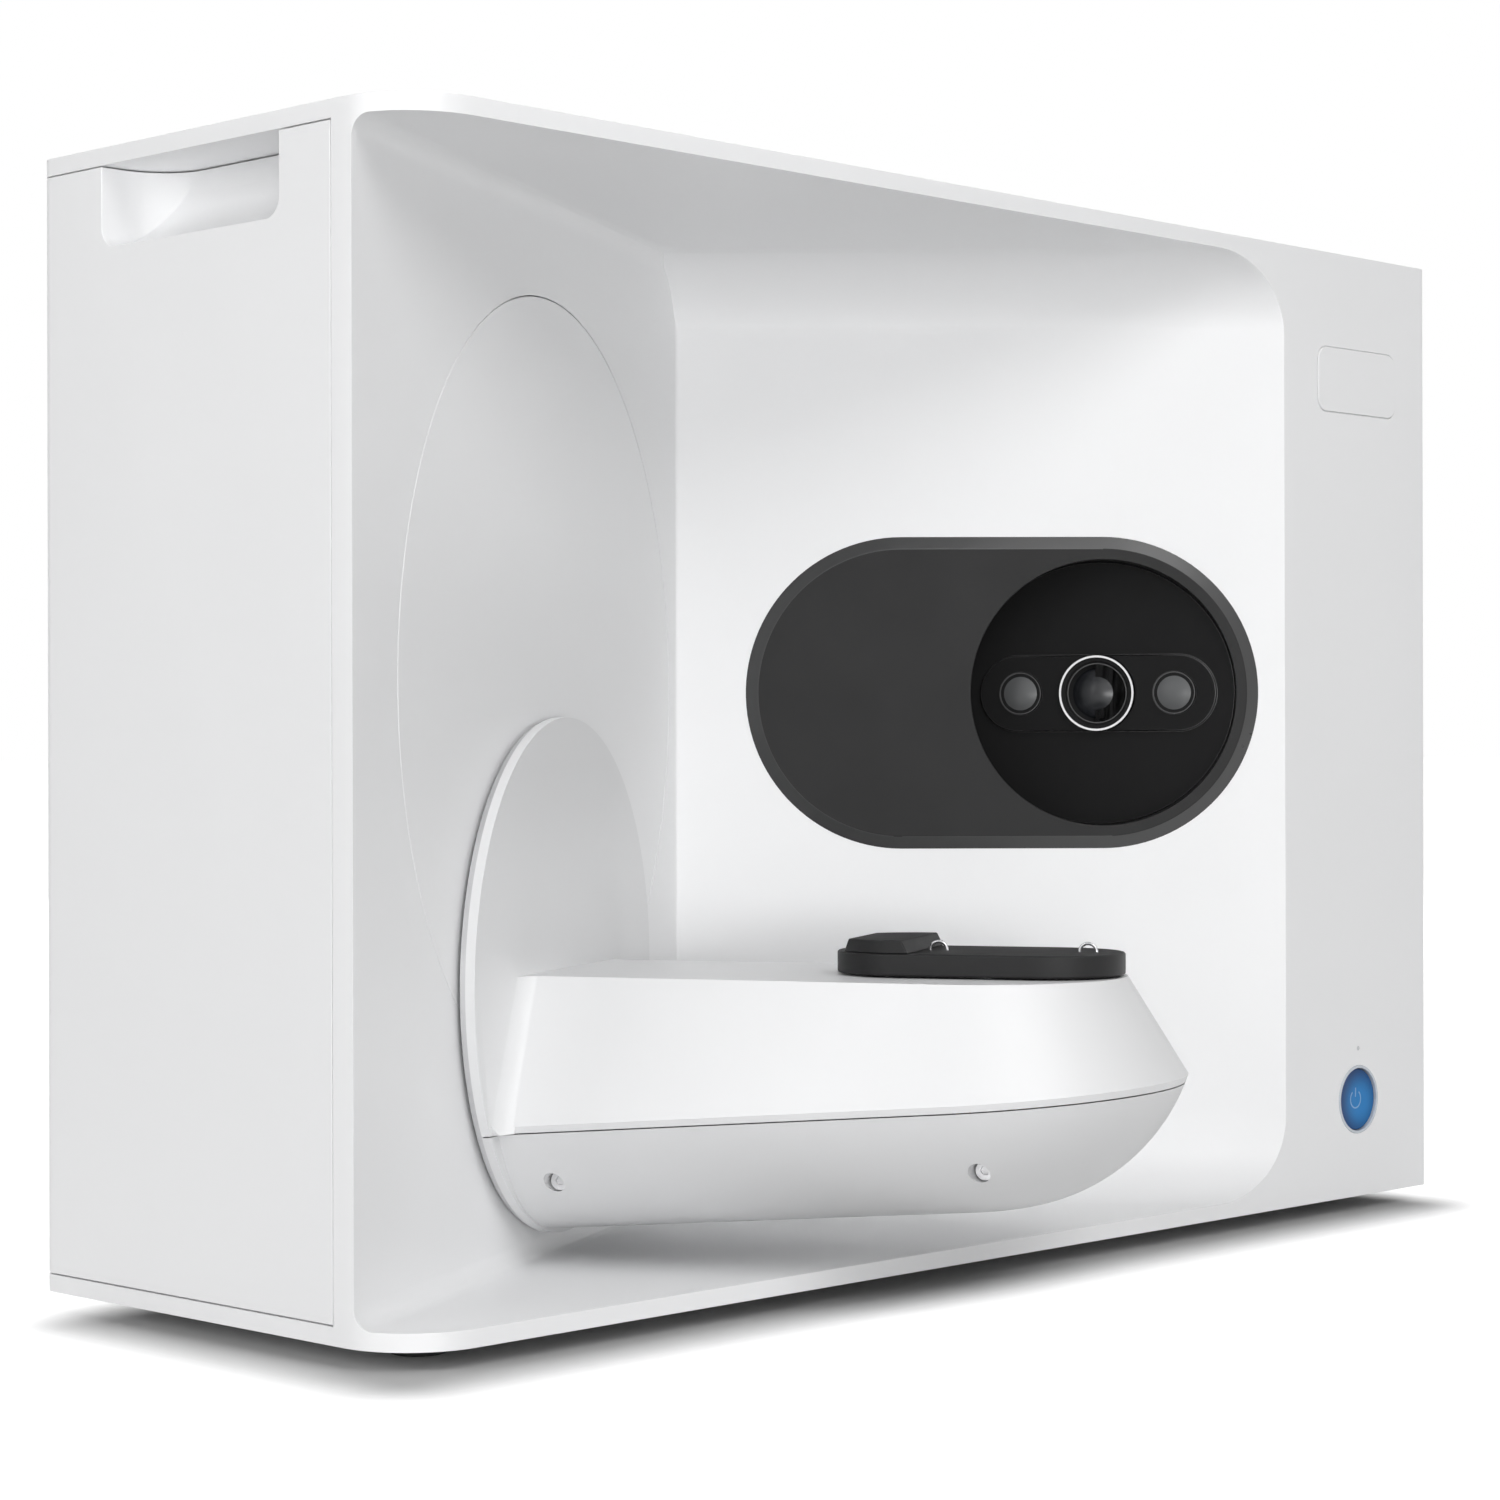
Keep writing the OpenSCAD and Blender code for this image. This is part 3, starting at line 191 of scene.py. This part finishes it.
METAL = dict(group=BRUSHED, metallic=1.0, colour_by="Cloud", rough_by="Lines", bump_by="Lines",
             bump=0.000008)
MATERIALS = {
    "white_shell": material("white_shell", (0.89, 0.893, 0.90), (0.925, 0.928, 0.935), (0.36, 0.46)),
    "white_panel": material("white_panel", (0.885, 0.888, 0.895), (0.92, 0.923, 0.93), (0.36, 0.46)),
    "white_arm": material("white_arm", (0.81, 0.813, 0.82), (0.85, 0.853, 0.86), (0.34, 0.44)),
    "white_belly": material("white_belly", (0.75, 0.753, 0.76), (0.79, 0.793, 0.80), (0.38, 0.48)),
    "bezel_grey": material("bezel_grey", (0.014, 0.014, 0.0143), (0.019, 0.019, 0.0193), (0.42, 0.55),
                           Specular_IOR_Level=0.18),
    "recess_black": material("recess_black", (0.006, 0.006, 0.0063), (0.010, 0.010, 0.0103), (0.5, 0.65),
                             Specular_IOR_Level=0.12),
    "lens_ring": material("lens_ring", (0.70, 0.70, 0.71), (0.80, 0.80, 0.81), (0.12, 0.22), **METAL),
    "lens_glass": material("lens_glass", (0.006, 0.007, 0.009), (0.010, 0.011, 0.014), (0.22, 0.3),
                           Specular_IOR_Level=0.5, bump=0.0000005),
    "eye_glass": material("eye_glass", (0.095, 0.098, 0.10), (0.125, 0.128, 0.13), (0.25, 0.35),
                          Specular_IOR_Level=0.3, bump=0.0000005),
    "eye_rim": material("eye_rim", (0.05, 0.05, 0.051), (0.07, 0.07, 0.071), (0.3, 0.42), bump=0.000002),
    # Lighter grey on the lens bar's rounded edges: painted highlight lines.
    "bar_edge_painted_highlight": material("bar_edge_painted_highlight", (0.022, 0.022, 0.0222), (0.03, 0.03, 0.0302), (0.25, 0.35)),
    # Lighter grey on the bezel's sloped rim than on its face: a painted sheen, with real gloss too.
    "bezel_rim": material("bezel_rim", (0.040, 0.040, 0.0405), (0.052, 0.052, 0.0525), (0.24, 0.34),
                          Specular_IOR_Level=0.5),
    # Lighter white on the shell's rounded edges: a painted highlight, with real coat gloss over it.
    "shell_edge_painted_highlight": material("shell_edge_painted_highlight", (0.96, 0.963, 0.97), (0.975, 0.978, 0.985), (0.22, 0.3),
                           Specular_IOR_Level=1.0, Coat_Weight=1.0, Coat_Roughness=0.12),
    "jig_black": material("jig_black", (0.010, 0.010, 0.0105), (0.015, 0.015, 0.0155), (0.42, 0.58),
                          sizes={"Grain per metre": 2000.0}, Specular_IOR_Level=0.25),
    "wire_steel": material("wire_steel", (0.40, 0.40, 0.41), (0.52, 0.52, 0.53), (0.22, 0.34), **METAL),
    "screw_steel": material("screw_steel", (0.66, 0.66, 0.67), (0.76, 0.76, 0.77), (0.4, 0.5), **METAL),
    # The bright middle and navy rim of the button's colour are painted glow and painted shade.
    "button_blue": material("button_blue", (0.035, 0.23, 0.56), (0.008, 0.045, 0.16), (0.2, 0.3),
                            colour_by=painted_button_glow_mask, Specular_IOR_Level=0.1, bump=0.000002),
    "button_sign": material("button_sign", (0.16, 0.36, 0.62), (0.20, 0.40, 0.66), (0.25, 0.35),
                            bump=0.000002),
    "button_trim": material("button_trim", (0.55, 0.59, 0.65), (0.62, 0.66, 0.72), (0.2, 0.3)),
    "led_white": material("led_white", (0.55, 0.56, 0.58), (0.66, 0.67, 0.69), (0.2, 0.3), bump=0.000002),
    "foot_rubber": material("foot_rubber", (0.012, 0.012, 0.012), (0.022, 0.022, 0.022), (0.7, 0.85),
                            sizes={"Grain per metre": 1500.0}, bump=0.00004),
    "sheet_steel": material("sheet_steel", (0.48, 0.49, 0.50), (0.60, 0.61, 0.62), (0.28, 0.42),
                            sizes={"Lines per metre": 600.0, "Stretch": 0.06}, **METAL),
    "machined_aluminium": material("machined_aluminium", (0.60, 0.60, 0.61), (0.72, 0.72, 0.73),
                                   (0.25, 0.4), **METAL),
    "shaft_steel": material("shaft_steel", (0.46, 0.46, 0.48), (0.58, 0.58, 0.60), (0.18, 0.3), **METAL),
    "gear_brass": material("gear_brass", (0.60, 0.44, 0.17), (0.72, 0.55, 0.24), (0.24, 0.36),
                           sizes={"Lines per metre": 1300.0, "Stretch": 0.3}, **METAL),
    "motor_dark": material("motor_dark", (0.022, 0.022, 0.024), (0.05, 0.05, 0.054), (0.35, 0.5)),
    "socket_black": material("socket_black", (0.014, 0.014, 0.014), (0.026, 0.026, 0.026), (0.4, 0.55)),
    "board_green": material("board_green", (0.010, 0.09, 0.03), (0.02, 0.14, 0.05), (0.3, 0.45)),
}


# Pieces

def dress(node):
    """Gives a CAD node that keeps its shape its own finish."""
    mesh = frame["nodes"][node].data
    mesh.materials.clear()
    mesh.materials.append(MATERIALS[node_slot[node]])


def link(name, mesh, body, slot, finish=None):
    """A finished piece of the scene, riding on a body, in its slot's finish or one of its own."""
    mesh.materials.clear()
    mesh.materials.append(MATERIALS[finish or slot])
    piece = bpy.data.objects.new(name, mesh)
    scene.collection.objects.link(piece)
    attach(piece, body)
    return piece


def merged_copy(node):
    """A copy of a CAD node with its loose triangles joined and its flat faces made whole."""
    mesh = frame["nodes"][node].data.copy()
    mesh.name = node + "_finished"
    if "custom_normal" in mesh.attributes:
        mesh.attributes.remove(mesh.attributes["custom_normal"])
    shape = bmesh.new()
    shape.from_mesh(mesh)
    bmesh.ops.remove_doubles(shape, verts=shape.verts, dist=0.002 * mm)
    bmesh.ops.dissolve_limit(shape, angle_limit=math.radians(0.2), verts=shape.verts, edges=shape.edges)
    return mesh, shape


def shade(shape, angle=30.0):
    """Smooth faces, with every edge that turns further than the angle left sharp."""
    for face in shape.faces:
        face.smooth = True
    for edge in shape.edges:
        edge.smooth = edge.calc_face_angle(0.0) < math.radians(angle)


def sloped_rim(shape):
    """The faces that lean a little away from the largest one."""
    flat = max(shape.faces, key=lambda f: f.calc_area()).normal.copy()
    return [f for f in shape.faces if 0.8 < abs(f.normal.dot(flat)) < 0.98]


ROUNDING_STEPS = 3
SHORTEST_ROUNDED = 0.25 * mm
FRONT_REACH = 0.5 * mm


def softened(node, width, angle=30.0, behind=1.0, finish=None, rim=None, edge=None):
    """A copy of a CAD node with its edges rounded the way a moulding's or a turned part's are.

    Edges behind its front plane may be rounded less, and its sloped rim or its rounded edges may take
    a lighter finish of their own, which paints a highlight or sheen on them.
    """
    mesh, shape = merged_copy(node)
    weight = shape.edges.layers.float.new("bevel_weight_edge")
    shade(shape, angle)
    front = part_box(node)[0][1] + FRONT_REACH
    for line in shape.edges:
        if not line.smooth and line.calc_length() > SHORTEST_ROUNDED:
            line[weight] = 1.0 if max(v.co.y for v in line.verts) < front else behind
    shape.faces.index_update()
    sloped = [face.index for face in sloped_rim(shape)] if rim else []
    shape.to_mesh(mesh)
    shape.free()
    piece = link(node + "_finished", mesh, node_body[node], node_slot[node], finish)
    bevel = piece.modifiers.new("rounded edges", "BEVEL")
    bevel.width = width * mm
    bevel.segments = ROUNDING_STEPS
    bevel.limit_method = "WEIGHT"
    bevel.use_clamp_overlap = True
    bevel.harden_normals = True
    if rim or edge:
        mesh.materials.append(MATERIALS[rim or edge])
    for index in sloped:
        mesh.polygons[index].material_index = 1
    if edge:
        bevel.material = 1
    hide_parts(node)


def finished(name, shape, body, slot, finish=None):
    """A closed shape made into a piece of the scene."""
    bmesh.ops.remove_doubles(shape, verts=shape.verts, dist=0.0005 * mm)
    bmesh.ops.dissolve_degenerate(shape, edges=shape.edges, dist=0.0005 * mm)
    bmesh.ops.recalc_face_normals(shape, faces=shape.faces)
    shade(shape)
    mesh = bpy.data.meshes.new(name)
    shape.to_mesh(mesh)
    shape.free()
    return link(name, mesh, body, slot, finish)


def turned(name, profile, places, body, slot, finish=None, steps=96):
    """Rings turned about the y axis of each place.

    The closed profile holds radius and depth in millimetres.
    """
    shape = bmesh.new()
    count = len(profile)
    for place in places:
        hoops = []
        for i in range(steps):
            turn = Matrix.Rotation(2 * math.pi * i / steps, 4, "Y")
            spots = [place @ turn @ Vector((r * mm, y * mm, 0.0)) for r, y in profile]
            hoops.append([shape.verts.new(spot) for spot in spots])
        for here, there in zip(hoops, hoops[1:] + hoops[:1]):
            for k in range(count):
                after = (k + 1) % count
                shape.faces.new((here[k], here[after], there[after], there[k]))
    return finished(name, shape, body, slot, finish)


LENS_FACE_DEPTH = 2.9 * mm
EYE_SPACING = 27.7 * mm


def lens_place():
    """Middle of the lens plate's face: x along the lens bar, y into the wall, z up."""
    into = Vector((arm_swing["axis"][1], -arm_swing["axis"][0], 0.0))
    low, high = (Vector(c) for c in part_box("projector_ring"))
    turn = Matrix((Vector((into.y, -into.x, 0.0)), into, Vector((0.0, 0.0, 1.0)))).transposed()
    return Matrix.Translation((low + high) / 2 + LENS_FACE_DEPTH * into) @ turn.to_4x4()


def dome(radius, rim, crown, back, steps=10):
    """Closed profile of a lens: a crown of that height over a rim at that depth, and a flat back."""
    ball = (radius * radius + crown * crown) / (2 * crown)
    turns = [math.asin(radius / ball) * i / steps for i in range(steps + 1)]
    front = [(ball * math.sin(t), rim - crown + ball * (1 - math.cos(t))) for t in turns]
    return front + [(radius, back), (0.0, back)]


def lens_pieces():
    """Glass, retainer and edge ring of the projector, and the windows and rims of both camera eyes."""
    lens = lens_place()
    eyes = [lens @ Matrix.Translation((side * EYE_SPACING, 0.0, 0.0)) for side in (-1, 1)]
    glass = turned("projector_lens_finished", dome(11.0, 1.5, 4.0, 4.0), [lens], "cabinet", "lens_glass")
    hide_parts("projector_lens")
    retainer = [(11.15, -1.6), (10.6, -1.6), (9.0, 0.1), (9.0, 0.4), (11.15, 1.4)]
    turned("projector_retainer", retainer, [lens], "cabinet", "recess_black")
    edge = [(10.7, -1.75), (10.35, -1.75), (10.35, -1.4), (10.7, -1.4)]
    turned("projector_edge_ring", edge, [lens], "cabinet", "lens_ring", "eye_rim")
    window = dome(6.0, -2.25, 1.0, -2.2)
    turned("camera_windows", window, eyes, "cabinet", "lens_glass", "eye_glass", steps=64)
    rim = [(7.5, -2.35), (7.15, -2.35), (7.15, -2.2), (7.5, -2.2)]
    turned("camera_rims", rim, eyes, "cabinet", "lens_ring", "eye_rim", steps=64)


SIGN_RADIUS = 3.2
SIGN_GAP = math.radians(38.0)
SIGN_STROKE = 0.5
SIGN_STEPS = 40
SIGN_BAR_HEIGHTS = (0.8, 1.9, 3.0, 4.1)
SIGN_PROUD = 0.06
SIGN_SUNK = 0.1
BUTTON_DISH_RADIUS = 11.0
BUTTON_DISH_DEPTH = 0.7


def button_sign():
    """Power sign on the dished face of the button: an open ring and a bar, both a hair proud."""
    low, high = (Vector(c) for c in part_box("power_button"))
    middle = Vector(((low.x + high.x) / 2, low.y, (low.z + high.z) / 2))
    side = SIGN_STROKE / 2
    sweep = 2 * math.pi - 2 * SIGN_GAP
    turns = [SIGN_GAP + sweep * i / SIGN_STEPS for i in range(SIGN_STEPS + 1)]
    ring = [(Vector((math.sin(t), math.cos(t))) * (SIGN_RADIUS - side),
             Vector((math.sin(t), math.cos(t))) * (SIGN_RADIUS + side)) for t in turns]
    bar = [(Vector((-side, z)), Vector((side, z))) for z in SIGN_BAR_HEIGHTS]
    shape = bmesh.new()
    for line in (ring, bar):
        rows = []
        for pair in line:
            dish = [BUTTON_DISH_DEPTH * (1 - p.length_squared / BUTTON_DISH_RADIUS ** 2) for p in pair]
            spots = [(pair[0], dish[0] - SIGN_PROUD), (pair[1], dish[1] - SIGN_PROUD),
                     (pair[1], dish[1] + SIGN_SUNK), (pair[0], dish[0] + SIGN_SUNK)]
            rows.append([shape.verts.new(middle + Vector((p.x, y, p.y)) * mm) for p, y in spots])
        for here, there in zip(rows, rows[1:]):
            for k in range(4):
                shape.faces.new((here[k], here[(k + 1) % 4], there[(k + 1) % 4], there[k]))
        shape.faces.new(rows[0])
        shape.faces.new(rows[-1])
    finished("button_sign", shape, "power_button", "button_blue", "button_sign")


# Socket screws

def screw_tree():
    """Socket screws on points, each standing along the facing that its point carries."""
    tree = bpy.data.node_groups.new("socket_screws", "GeometryNodeTree")
    tree.interface.new_socket("Points", in_out="INPUT", socket_type="NodeSocketGeometry")
    for key in ("Head radius", "Head height", "Socket radius", "Socket depth",
                "Shank radius", "Shank length"):
        tree.interface.new_socket(key, in_out="INPUT", socket_type="NodeSocketFloat")
    tree.interface.new_socket("Finish", in_out="INPUT", socket_type="NodeSocketMaterial")
    tree.interface.new_socket("Screws", in_out="OUTPUT", socket_type="NodeSocketGeometry")
    given, out = add_node(tree, "NodeGroupInput"), add_node(tree, "NodeGroupOutput")

    def rod(radius, depth, corners, shift_by, factor):
        """A rod along z, shifted by a share of one of the sizes."""
        made = add_node(tree, "GeometryNodeMeshCylinder")
        made.inputs["Vertices"].default_value = corners
        tree.links.new(given.outputs[radius], made.inputs["Radius"])
        tree.links.new(given.outputs[depth], made.inputs["Depth"])
        shift = add_node(tree, "ShaderNodeMath", operation="MULTIPLY")
        tree.links.new(given.outputs[shift_by], shift.inputs[0])
        shift.inputs[1].default_value = factor
        along = add_node(tree, "ShaderNodeCombineXYZ")
        tree.links.new(shift.outputs["Value"], along.inputs["Z"])
        moved = add_node(tree, "GeometryNodeTransform")
        tree.links.new(made.outputs["Mesh"], moved.inputs["Geometry"])
        tree.links.new(along.outputs["Vector"], moved.inputs["Translation"])
        return moved.outputs["Geometry"]

    cut = add_node(tree, "GeometryNodeMeshBoolean", operation="DIFFERENCE")
    tree.links.new(rod("Head radius", "Head height", 48, "Head height", 0.5), cut.inputs["Mesh 1"])
    tree.links.new(rod("Socket radius", "Socket depth", 6, "Head height", 1.0), cut.inputs["Mesh 2"])
    whole = add_node(tree, "GeometryNodeJoinGeometry")
    tree.links.new(cut.outputs["Mesh"], whole.inputs["Geometry"])
    tree.links.new(rod("Shank radius", "Shank length", 24, "Shank length", -0.5), whole.inputs["Geometry"])
    facing = add_node(tree, "GeometryNodeInputNamedAttribute", data_type="FLOAT_VECTOR")
    facing.inputs["Name"].default_value = "facing"
    turn = add_node(tree, "FunctionNodeAlignRotationToVector", axis="Z")
    tree.links.new(facing.outputs["Attribute"], turn.inputs["Vector"])
    spread = add_node(tree, "GeometryNodeInstanceOnPoints")
    tree.links.new(given.outputs["Points"], spread.inputs["Points"])
    tree.links.new(whole.outputs["Geometry"], spread.inputs["Instance"])
    tree.links.new(turn.outputs["Rotation"], spread.inputs["Rotation"])
    real = add_node(tree, "GeometryNodeRealizeInstances")
    tree.links.new(spread.outputs["Instances"], real.inputs["Geometry"])
    coat = add_node(tree, "GeometryNodeSetMaterial")
    tree.links.new(real.outputs["Geometry"], coat.inputs["Geometry"])
    tree.links.new(given.outputs["Finish"], coat.inputs["Material"])
    tree.links.new(coat.outputs["Geometry"], out.inputs["Screws"])
    return tree


SCREWS = screw_tree()


def screws(name, spots, facings, body, sizes):
    """One mesh of steel socket screws whose heads stand on the spots."""
    points = bpy.data.meshes.new(name + "_spots")
    points.from_pydata([tuple(p) for p in spots], [], [])
    layer = points.attributes.new("facing", "FLOAT_VECTOR", "POINT")
    for value, facing in zip(layer.data, facings):
        value.vector = facing
    holder = bpy.data.objects.new(name + "_spots", points)
    scene.collection.objects.link(holder)
    nodes = holder.modifiers.new("screws", "NODES")
    nodes.node_group = SCREWS
    sockets = {i.name: i.identifier for i in SCREWS.interface.items_tree if i.in_out == "INPUT"}
    for key, value in sizes.items():
        nodes[sockets[key]] = value * mm
    nodes[sockets["Finish"]] = MATERIALS["screw_steel"]
    depsgraph = bpy.context.evaluated_depsgraph_get()
    mesh = bpy.data.meshes.new_from_object(holder.evaluated_get(depsgraph))
    holder.modifiers.remove(nodes)
    bpy.data.objects.remove(holder)
    shape = bmesh.new()
    shape.from_mesh(mesh)
    bmesh.ops.remove_doubles(shape, verts=shape.verts, dist=0.001 * mm)
    shade(shape)
    shape.to_mesh(mesh)
    shape.free()
    mesh.name = name
    return link(name, mesh, body, "wire_steel", "screw_steel")


def islands(node):
    """The points of each loose part of a CAD node."""
    mesh, shape = merged_copy(node)
    left, found = set(shape.verts), []
    while left:
        front, part = [left.pop()], []
        while front:
            vert = front.pop()
            part.append(vert.co.copy())
            for line in vert.link_edges:
                other = line.other_vert(vert)
                if other in left:
                    left.remove(other)
                    front.append(other)
        found.append(part)
    shape.free()
    bpy.data.meshes.remove(mesh)
    return found


def middle_of(points):
    """Middle of the box round some points."""
    low = Vector([min(p[k] for p in points) for k in range(3)])
    high = Vector([max(p[k] for p in points) for k in range(3)])
    return (low + high) / 2


ARM_SCREW = {
    "Head radius": 2.8, "Head height": 2.5, "Socket radius": 1.5, "Socket depth": 3.0,
    "Shank radius": 1.5, "Shank length": 6.0}
FOOT_SCREW = {
    "Head radius": 2.9, "Head height": 1.8, "Socket radius": 1.6, "Socket depth": 2.4,
    "Shank radius": 1.5, "Shank length": 2.0}
FOOT_HOLLOW_TOP = 3.0 * mm


def arm_screws():
    """The side screws of the lower cover, each facing out of the arm."""
    across = lens_place().to_3x3().col[1]
    spots, facings = [], []
    for part in islands("arm_screws"):
        middle = middle_of(part)
        facing = across if (middle - Vector(arm_swing["pos_m"])).dot(across) > 0 else -across
        top = max((p - middle).dot(facing) for p in part)
        spots.append(middle + (top - ARM_SCREW["Head height"] * mm) * facing)
        facings.append(facing)
    made = screws("arm_screws_finished", spots, facings, "swing_arm", ARM_SCREW)
    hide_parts("arm_screws")


def foot_screws():
    """The screws that hold the feet, up in their hollows."""
    middles = [middle_of(part) for part in islands("feet")]
    spots = [Vector((middle.x, middle.y, FOOT_HOLLOW_TOP)) for middle in middles]
    down = Vector((0.0, 0.0, -1.0))
    screws("foot_screws", spots, [down] * len(spots), "cabinet", FOOT_SCREW)


# Rounding of each reshaped piece's edges in millimetres, and the finishes that differ from its slot

EDGE_ROUNDING = {
    "front_shell": 1.0,
    "left_side_panel": 0.3,
    "right_side_panel": 0.3,
    "rear_cover": 0.5,
    "badge_plate": 0.35,
    "arm_upper_cover": 0.9,
    "arm_lower_cover": 0.7,
    "swing_disc": 0.3,
    "camera_bezel": 0.3,
    "lens_plate": 0.35,
    "projector_barrel": 0.3,
    "camera_barrels": 0.3,
    "jig_plate": 0.7,
    "jig_block": 0.5,
    "button_ring": 0.25,
    "power_button": 0.4,
    "feet": 0.6,
    "power_inlet": 0.5,
    "usb_port": 0.3,
}
# The shell's edge, the bezel's rim and the lens bar's edge take finishes lighter than their parts: painted
# highlights and sheen.
SECOND_FINISH = {
    "front_shell": dict(edge="shell_edge_painted_highlight", behind=0.35),
    "camera_bezel": dict(rim="bezel_rim", angle=15.0),
    "lens_plate": dict(edge="bar_edge_painted_highlight"),
    "swing_disc": dict(finish="white_shell"),
}
REMADE = ("arm_screws", "projector_lens")

for name in frame["nodes"]:
    if name in EDGE_ROUNDING:
        softened(name, EDGE_ROUNDING[name], **SECOND_FINISH.get(name, {}))
    elif name not in REMADE:
        dress(name)
lens_pieces()
button_sign()
arm_screws()
foot_screws()


# Stage, light and camera

AMBIENT = 0.15
HIGH_POWER = 20.5
LOW_POWER = 12.0
SIDE_POWER = 17.0
CAMERA_POWER = 5.0
BACK_POWER = 32.0
TOP_STRENGTH = 0.2
# Reach from the footprint over which the floor's white lift fades out, painting a shadow round the foot.
PAINTED_SHADOW_REACH = (0.0, 0.042)
FLOOR_REACH = 40.0
FLOOR_GREY = (0.6, 0.6, 0.6, 1.0)
FLOOR_LIFT = 0.92
PLAIN_WHITE = (1.0, 1.0, 1.0, 1.0)
# How far the painted shadow's footprint is cut short at its far ends.
SHADOW_SHORT = Vector((0.015, 0.036, 0.0))
LAMP_AIM = (0.0, 0.0, 0.15)
LOW_AIM = (0.0, 0.0, 0.3)
TOP_SPREAD = math.radians(100.0)
CAMERA_LENS = 80.57
CAMERA_SENSOR = 36.0
CAMERA_SHIFT = -0.00167
CAMERA_PLACE = (-0.8245, -0.72665, 0.1689)
CAMERA_FACING = Vector((0.718, 0.696, 0.0))
CAMERA_ROLL = math.radians(-0.127)


def seen_directly(tree):
    """1 for rays from the camera, off a glossy surface or through glass, and 0 for all other light."""
    rays = add_node(tree, "ShaderNodeLightPath")
    seen = rays.outputs["Is Camera Ray"]
    for kind in ("Is Glossy Ray", "Is Transmission Ray"):
        either = add_node(tree, "ShaderNodeMath", operation="MAXIMUM")
        tree.links.new(seen, either.inputs[0])
        tree.links.new(rays.outputs[kind], either.inputs[1])
        seen = either.outputs["Value"]
    return seen


def floor_material():
    """A pale floor that the camera sees as white, apart from a band round the cabinet's foot where the
    white lift fades out: a painted shadow over the real one.
    """
    low, high = (Vector(c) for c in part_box("front_shell"))
    high -= SHADOW_SHORT
    middle = Vector(((low.x + high.x) / 2, (low.y + high.y) / 2, 0.0))
    half = Vector(((high.x - low.x) / 2, (high.y - low.y) / 2, 1.0))
    made = bpy.data.materials.new("studio_floor")
    made.use_nodes = True
    tree = made.node_tree
    shader = tree.nodes["Principled BSDF"]
    shader.inputs["Base Color"].default_value = FLOOR_GREY
    shader.inputs["Roughness"].default_value = 0.9
    shader.inputs["Specular IOR Level"].default_value = 0.0
    shader.inputs["Emission Color"].default_value = PLAIN_WHITE
    steps = (("SUBTRACT", middle), ("ABSOLUTE", None), ("SUBTRACT", half), ("MAXIMUM", Vector()))
    clear = distance_mask(tree, steps, PAINTED_SHADOW_REACH)
    clear.inputs["To Max"].default_value = FLOOR_LIFT
    seen = add_node(tree, "ShaderNodeMath", operation="MULTIPLY")
    tree.links.new(clear.outputs["Result"], seen.inputs[0])
    tree.links.new(seen_directly(tree), seen.inputs[1])
    tree.links.new(seen.outputs["Value"], shader.inputs["Emission Strength"])
    return made


def make_floor():
    mesh = bpy.data.meshes.new("studio_floor")
    corners = [(x * FLOOR_REACH, y * FLOOR_REACH, 0) for x, y in ((-1, -1), (1, -1), (1, 1), (-1, 1))]
    mesh.from_pydata(corners, [], [(0, 1, 2, 3)])
    mesh.materials.append(floor_material())
    floor = bpy.data.objects.new("studio_floor", mesh)
    scene.collection.objects.link(floor)


def make_world():
    """Even dim light all round, and white to the camera, in metal and through glass."""
    world = bpy.data.worlds.new("studio_air")
    scene.world = world
    world.use_nodes = True
    tree = world.node_tree
    tree.nodes.clear()
    out = add_node(tree, "ShaderNodeOutputWorld")
    seen = add_node(tree, "ShaderNodeBackground")
    seen.inputs["Color"].default_value = PLAIN_WHITE
    seen.inputs["Strength"].default_value = 1.0
    ambient = add_node(tree, "ShaderNodeBackground")
    ambient.inputs["Color"].default_value = PLAIN_WHITE
    ambient.inputs["Strength"].default_value = AMBIENT
    mix = add_node(tree, "ShaderNodeMixShader")
    tree.links.new(seen_directly(tree), mix.inputs["Fac"])
    tree.links.new(ambient.outputs["Background"], mix.inputs[1])
    tree.links.new(seen.outputs["Background"], mix.inputs[2])
    tree.links.new(mix.outputs["Shader"], out.inputs["Surface"])


def softbox(name, at, aim, size, power):
    """A rectangular lamp, with its place and size in metres."""
    light = bpy.data.lights.new(name, "AREA")
    light.shape = "RECTANGLE"
    light.size, light.size_y = size
    light.energy = power
    lamp = bpy.data.objects.new(name, light)
    scene.collection.objects.link(lamp)
    lamp.location = at
    lamp.rotation_euler = (Vector(aim) - Vector(at)).to_track_quat("-Z", "Y").to_euler()


def sky_light(name, strength):
    """Even light from above, as a large ceiling softbox gives."""
    light = bpy.data.lights.new(name, "SUN")
    light.energy = strength
    light.angle = TOP_SPREAD
    lamp = bpy.data.objects.new(name, light)
    scene.collection.objects.link(lamp)


def make_camera():
    """The camera that was fitted to the photograph's straight edges."""
    data = bpy.data.cameras.new("photo_view")
    data.lens = CAMERA_LENS
    data.sensor_width = CAMERA_SENSOR
    data.shift_y = CAMERA_SHIFT
    eye = bpy.data.objects.new("photo_view", data)
    scene.collection.objects.link(eye)
    facing = CAMERA_FACING.to_track_quat("-Z", "Y").to_matrix()
    roll = Matrix.Rotation(CAMERA_ROLL, 3, "Z")
    eye.matrix_world = Matrix.Translation(CAMERA_PLACE) @ (facing @ roll).to_4x4()
    scene.camera = eye


make_floor()
make_world()
softbox("high_box", (-0.6, -1.8, 1.7), LAMP_AIM, (1.4, 1.2), HIGH_POWER)
softbox("low_box", (-1.2, -1.8, 0.12), LOW_AIM, (1.4, 0.2), LOW_POWER)
softbox("side_box", (-2.4, 0.2, 0.9), LAMP_AIM, (1.2, 1.2), SIDE_POWER)
softbox("camera_box", (-1.6, -1.5, 0.7), LAMP_AIM, (1.5, 1.2), CAMERA_POWER)
softbox("back_box", (1.5, 1.9, 1.1), LAMP_AIM, (1.5, 1.2), BACK_POWER)
sky_light("top_light", TOP_STRENGTH)
make_camera()
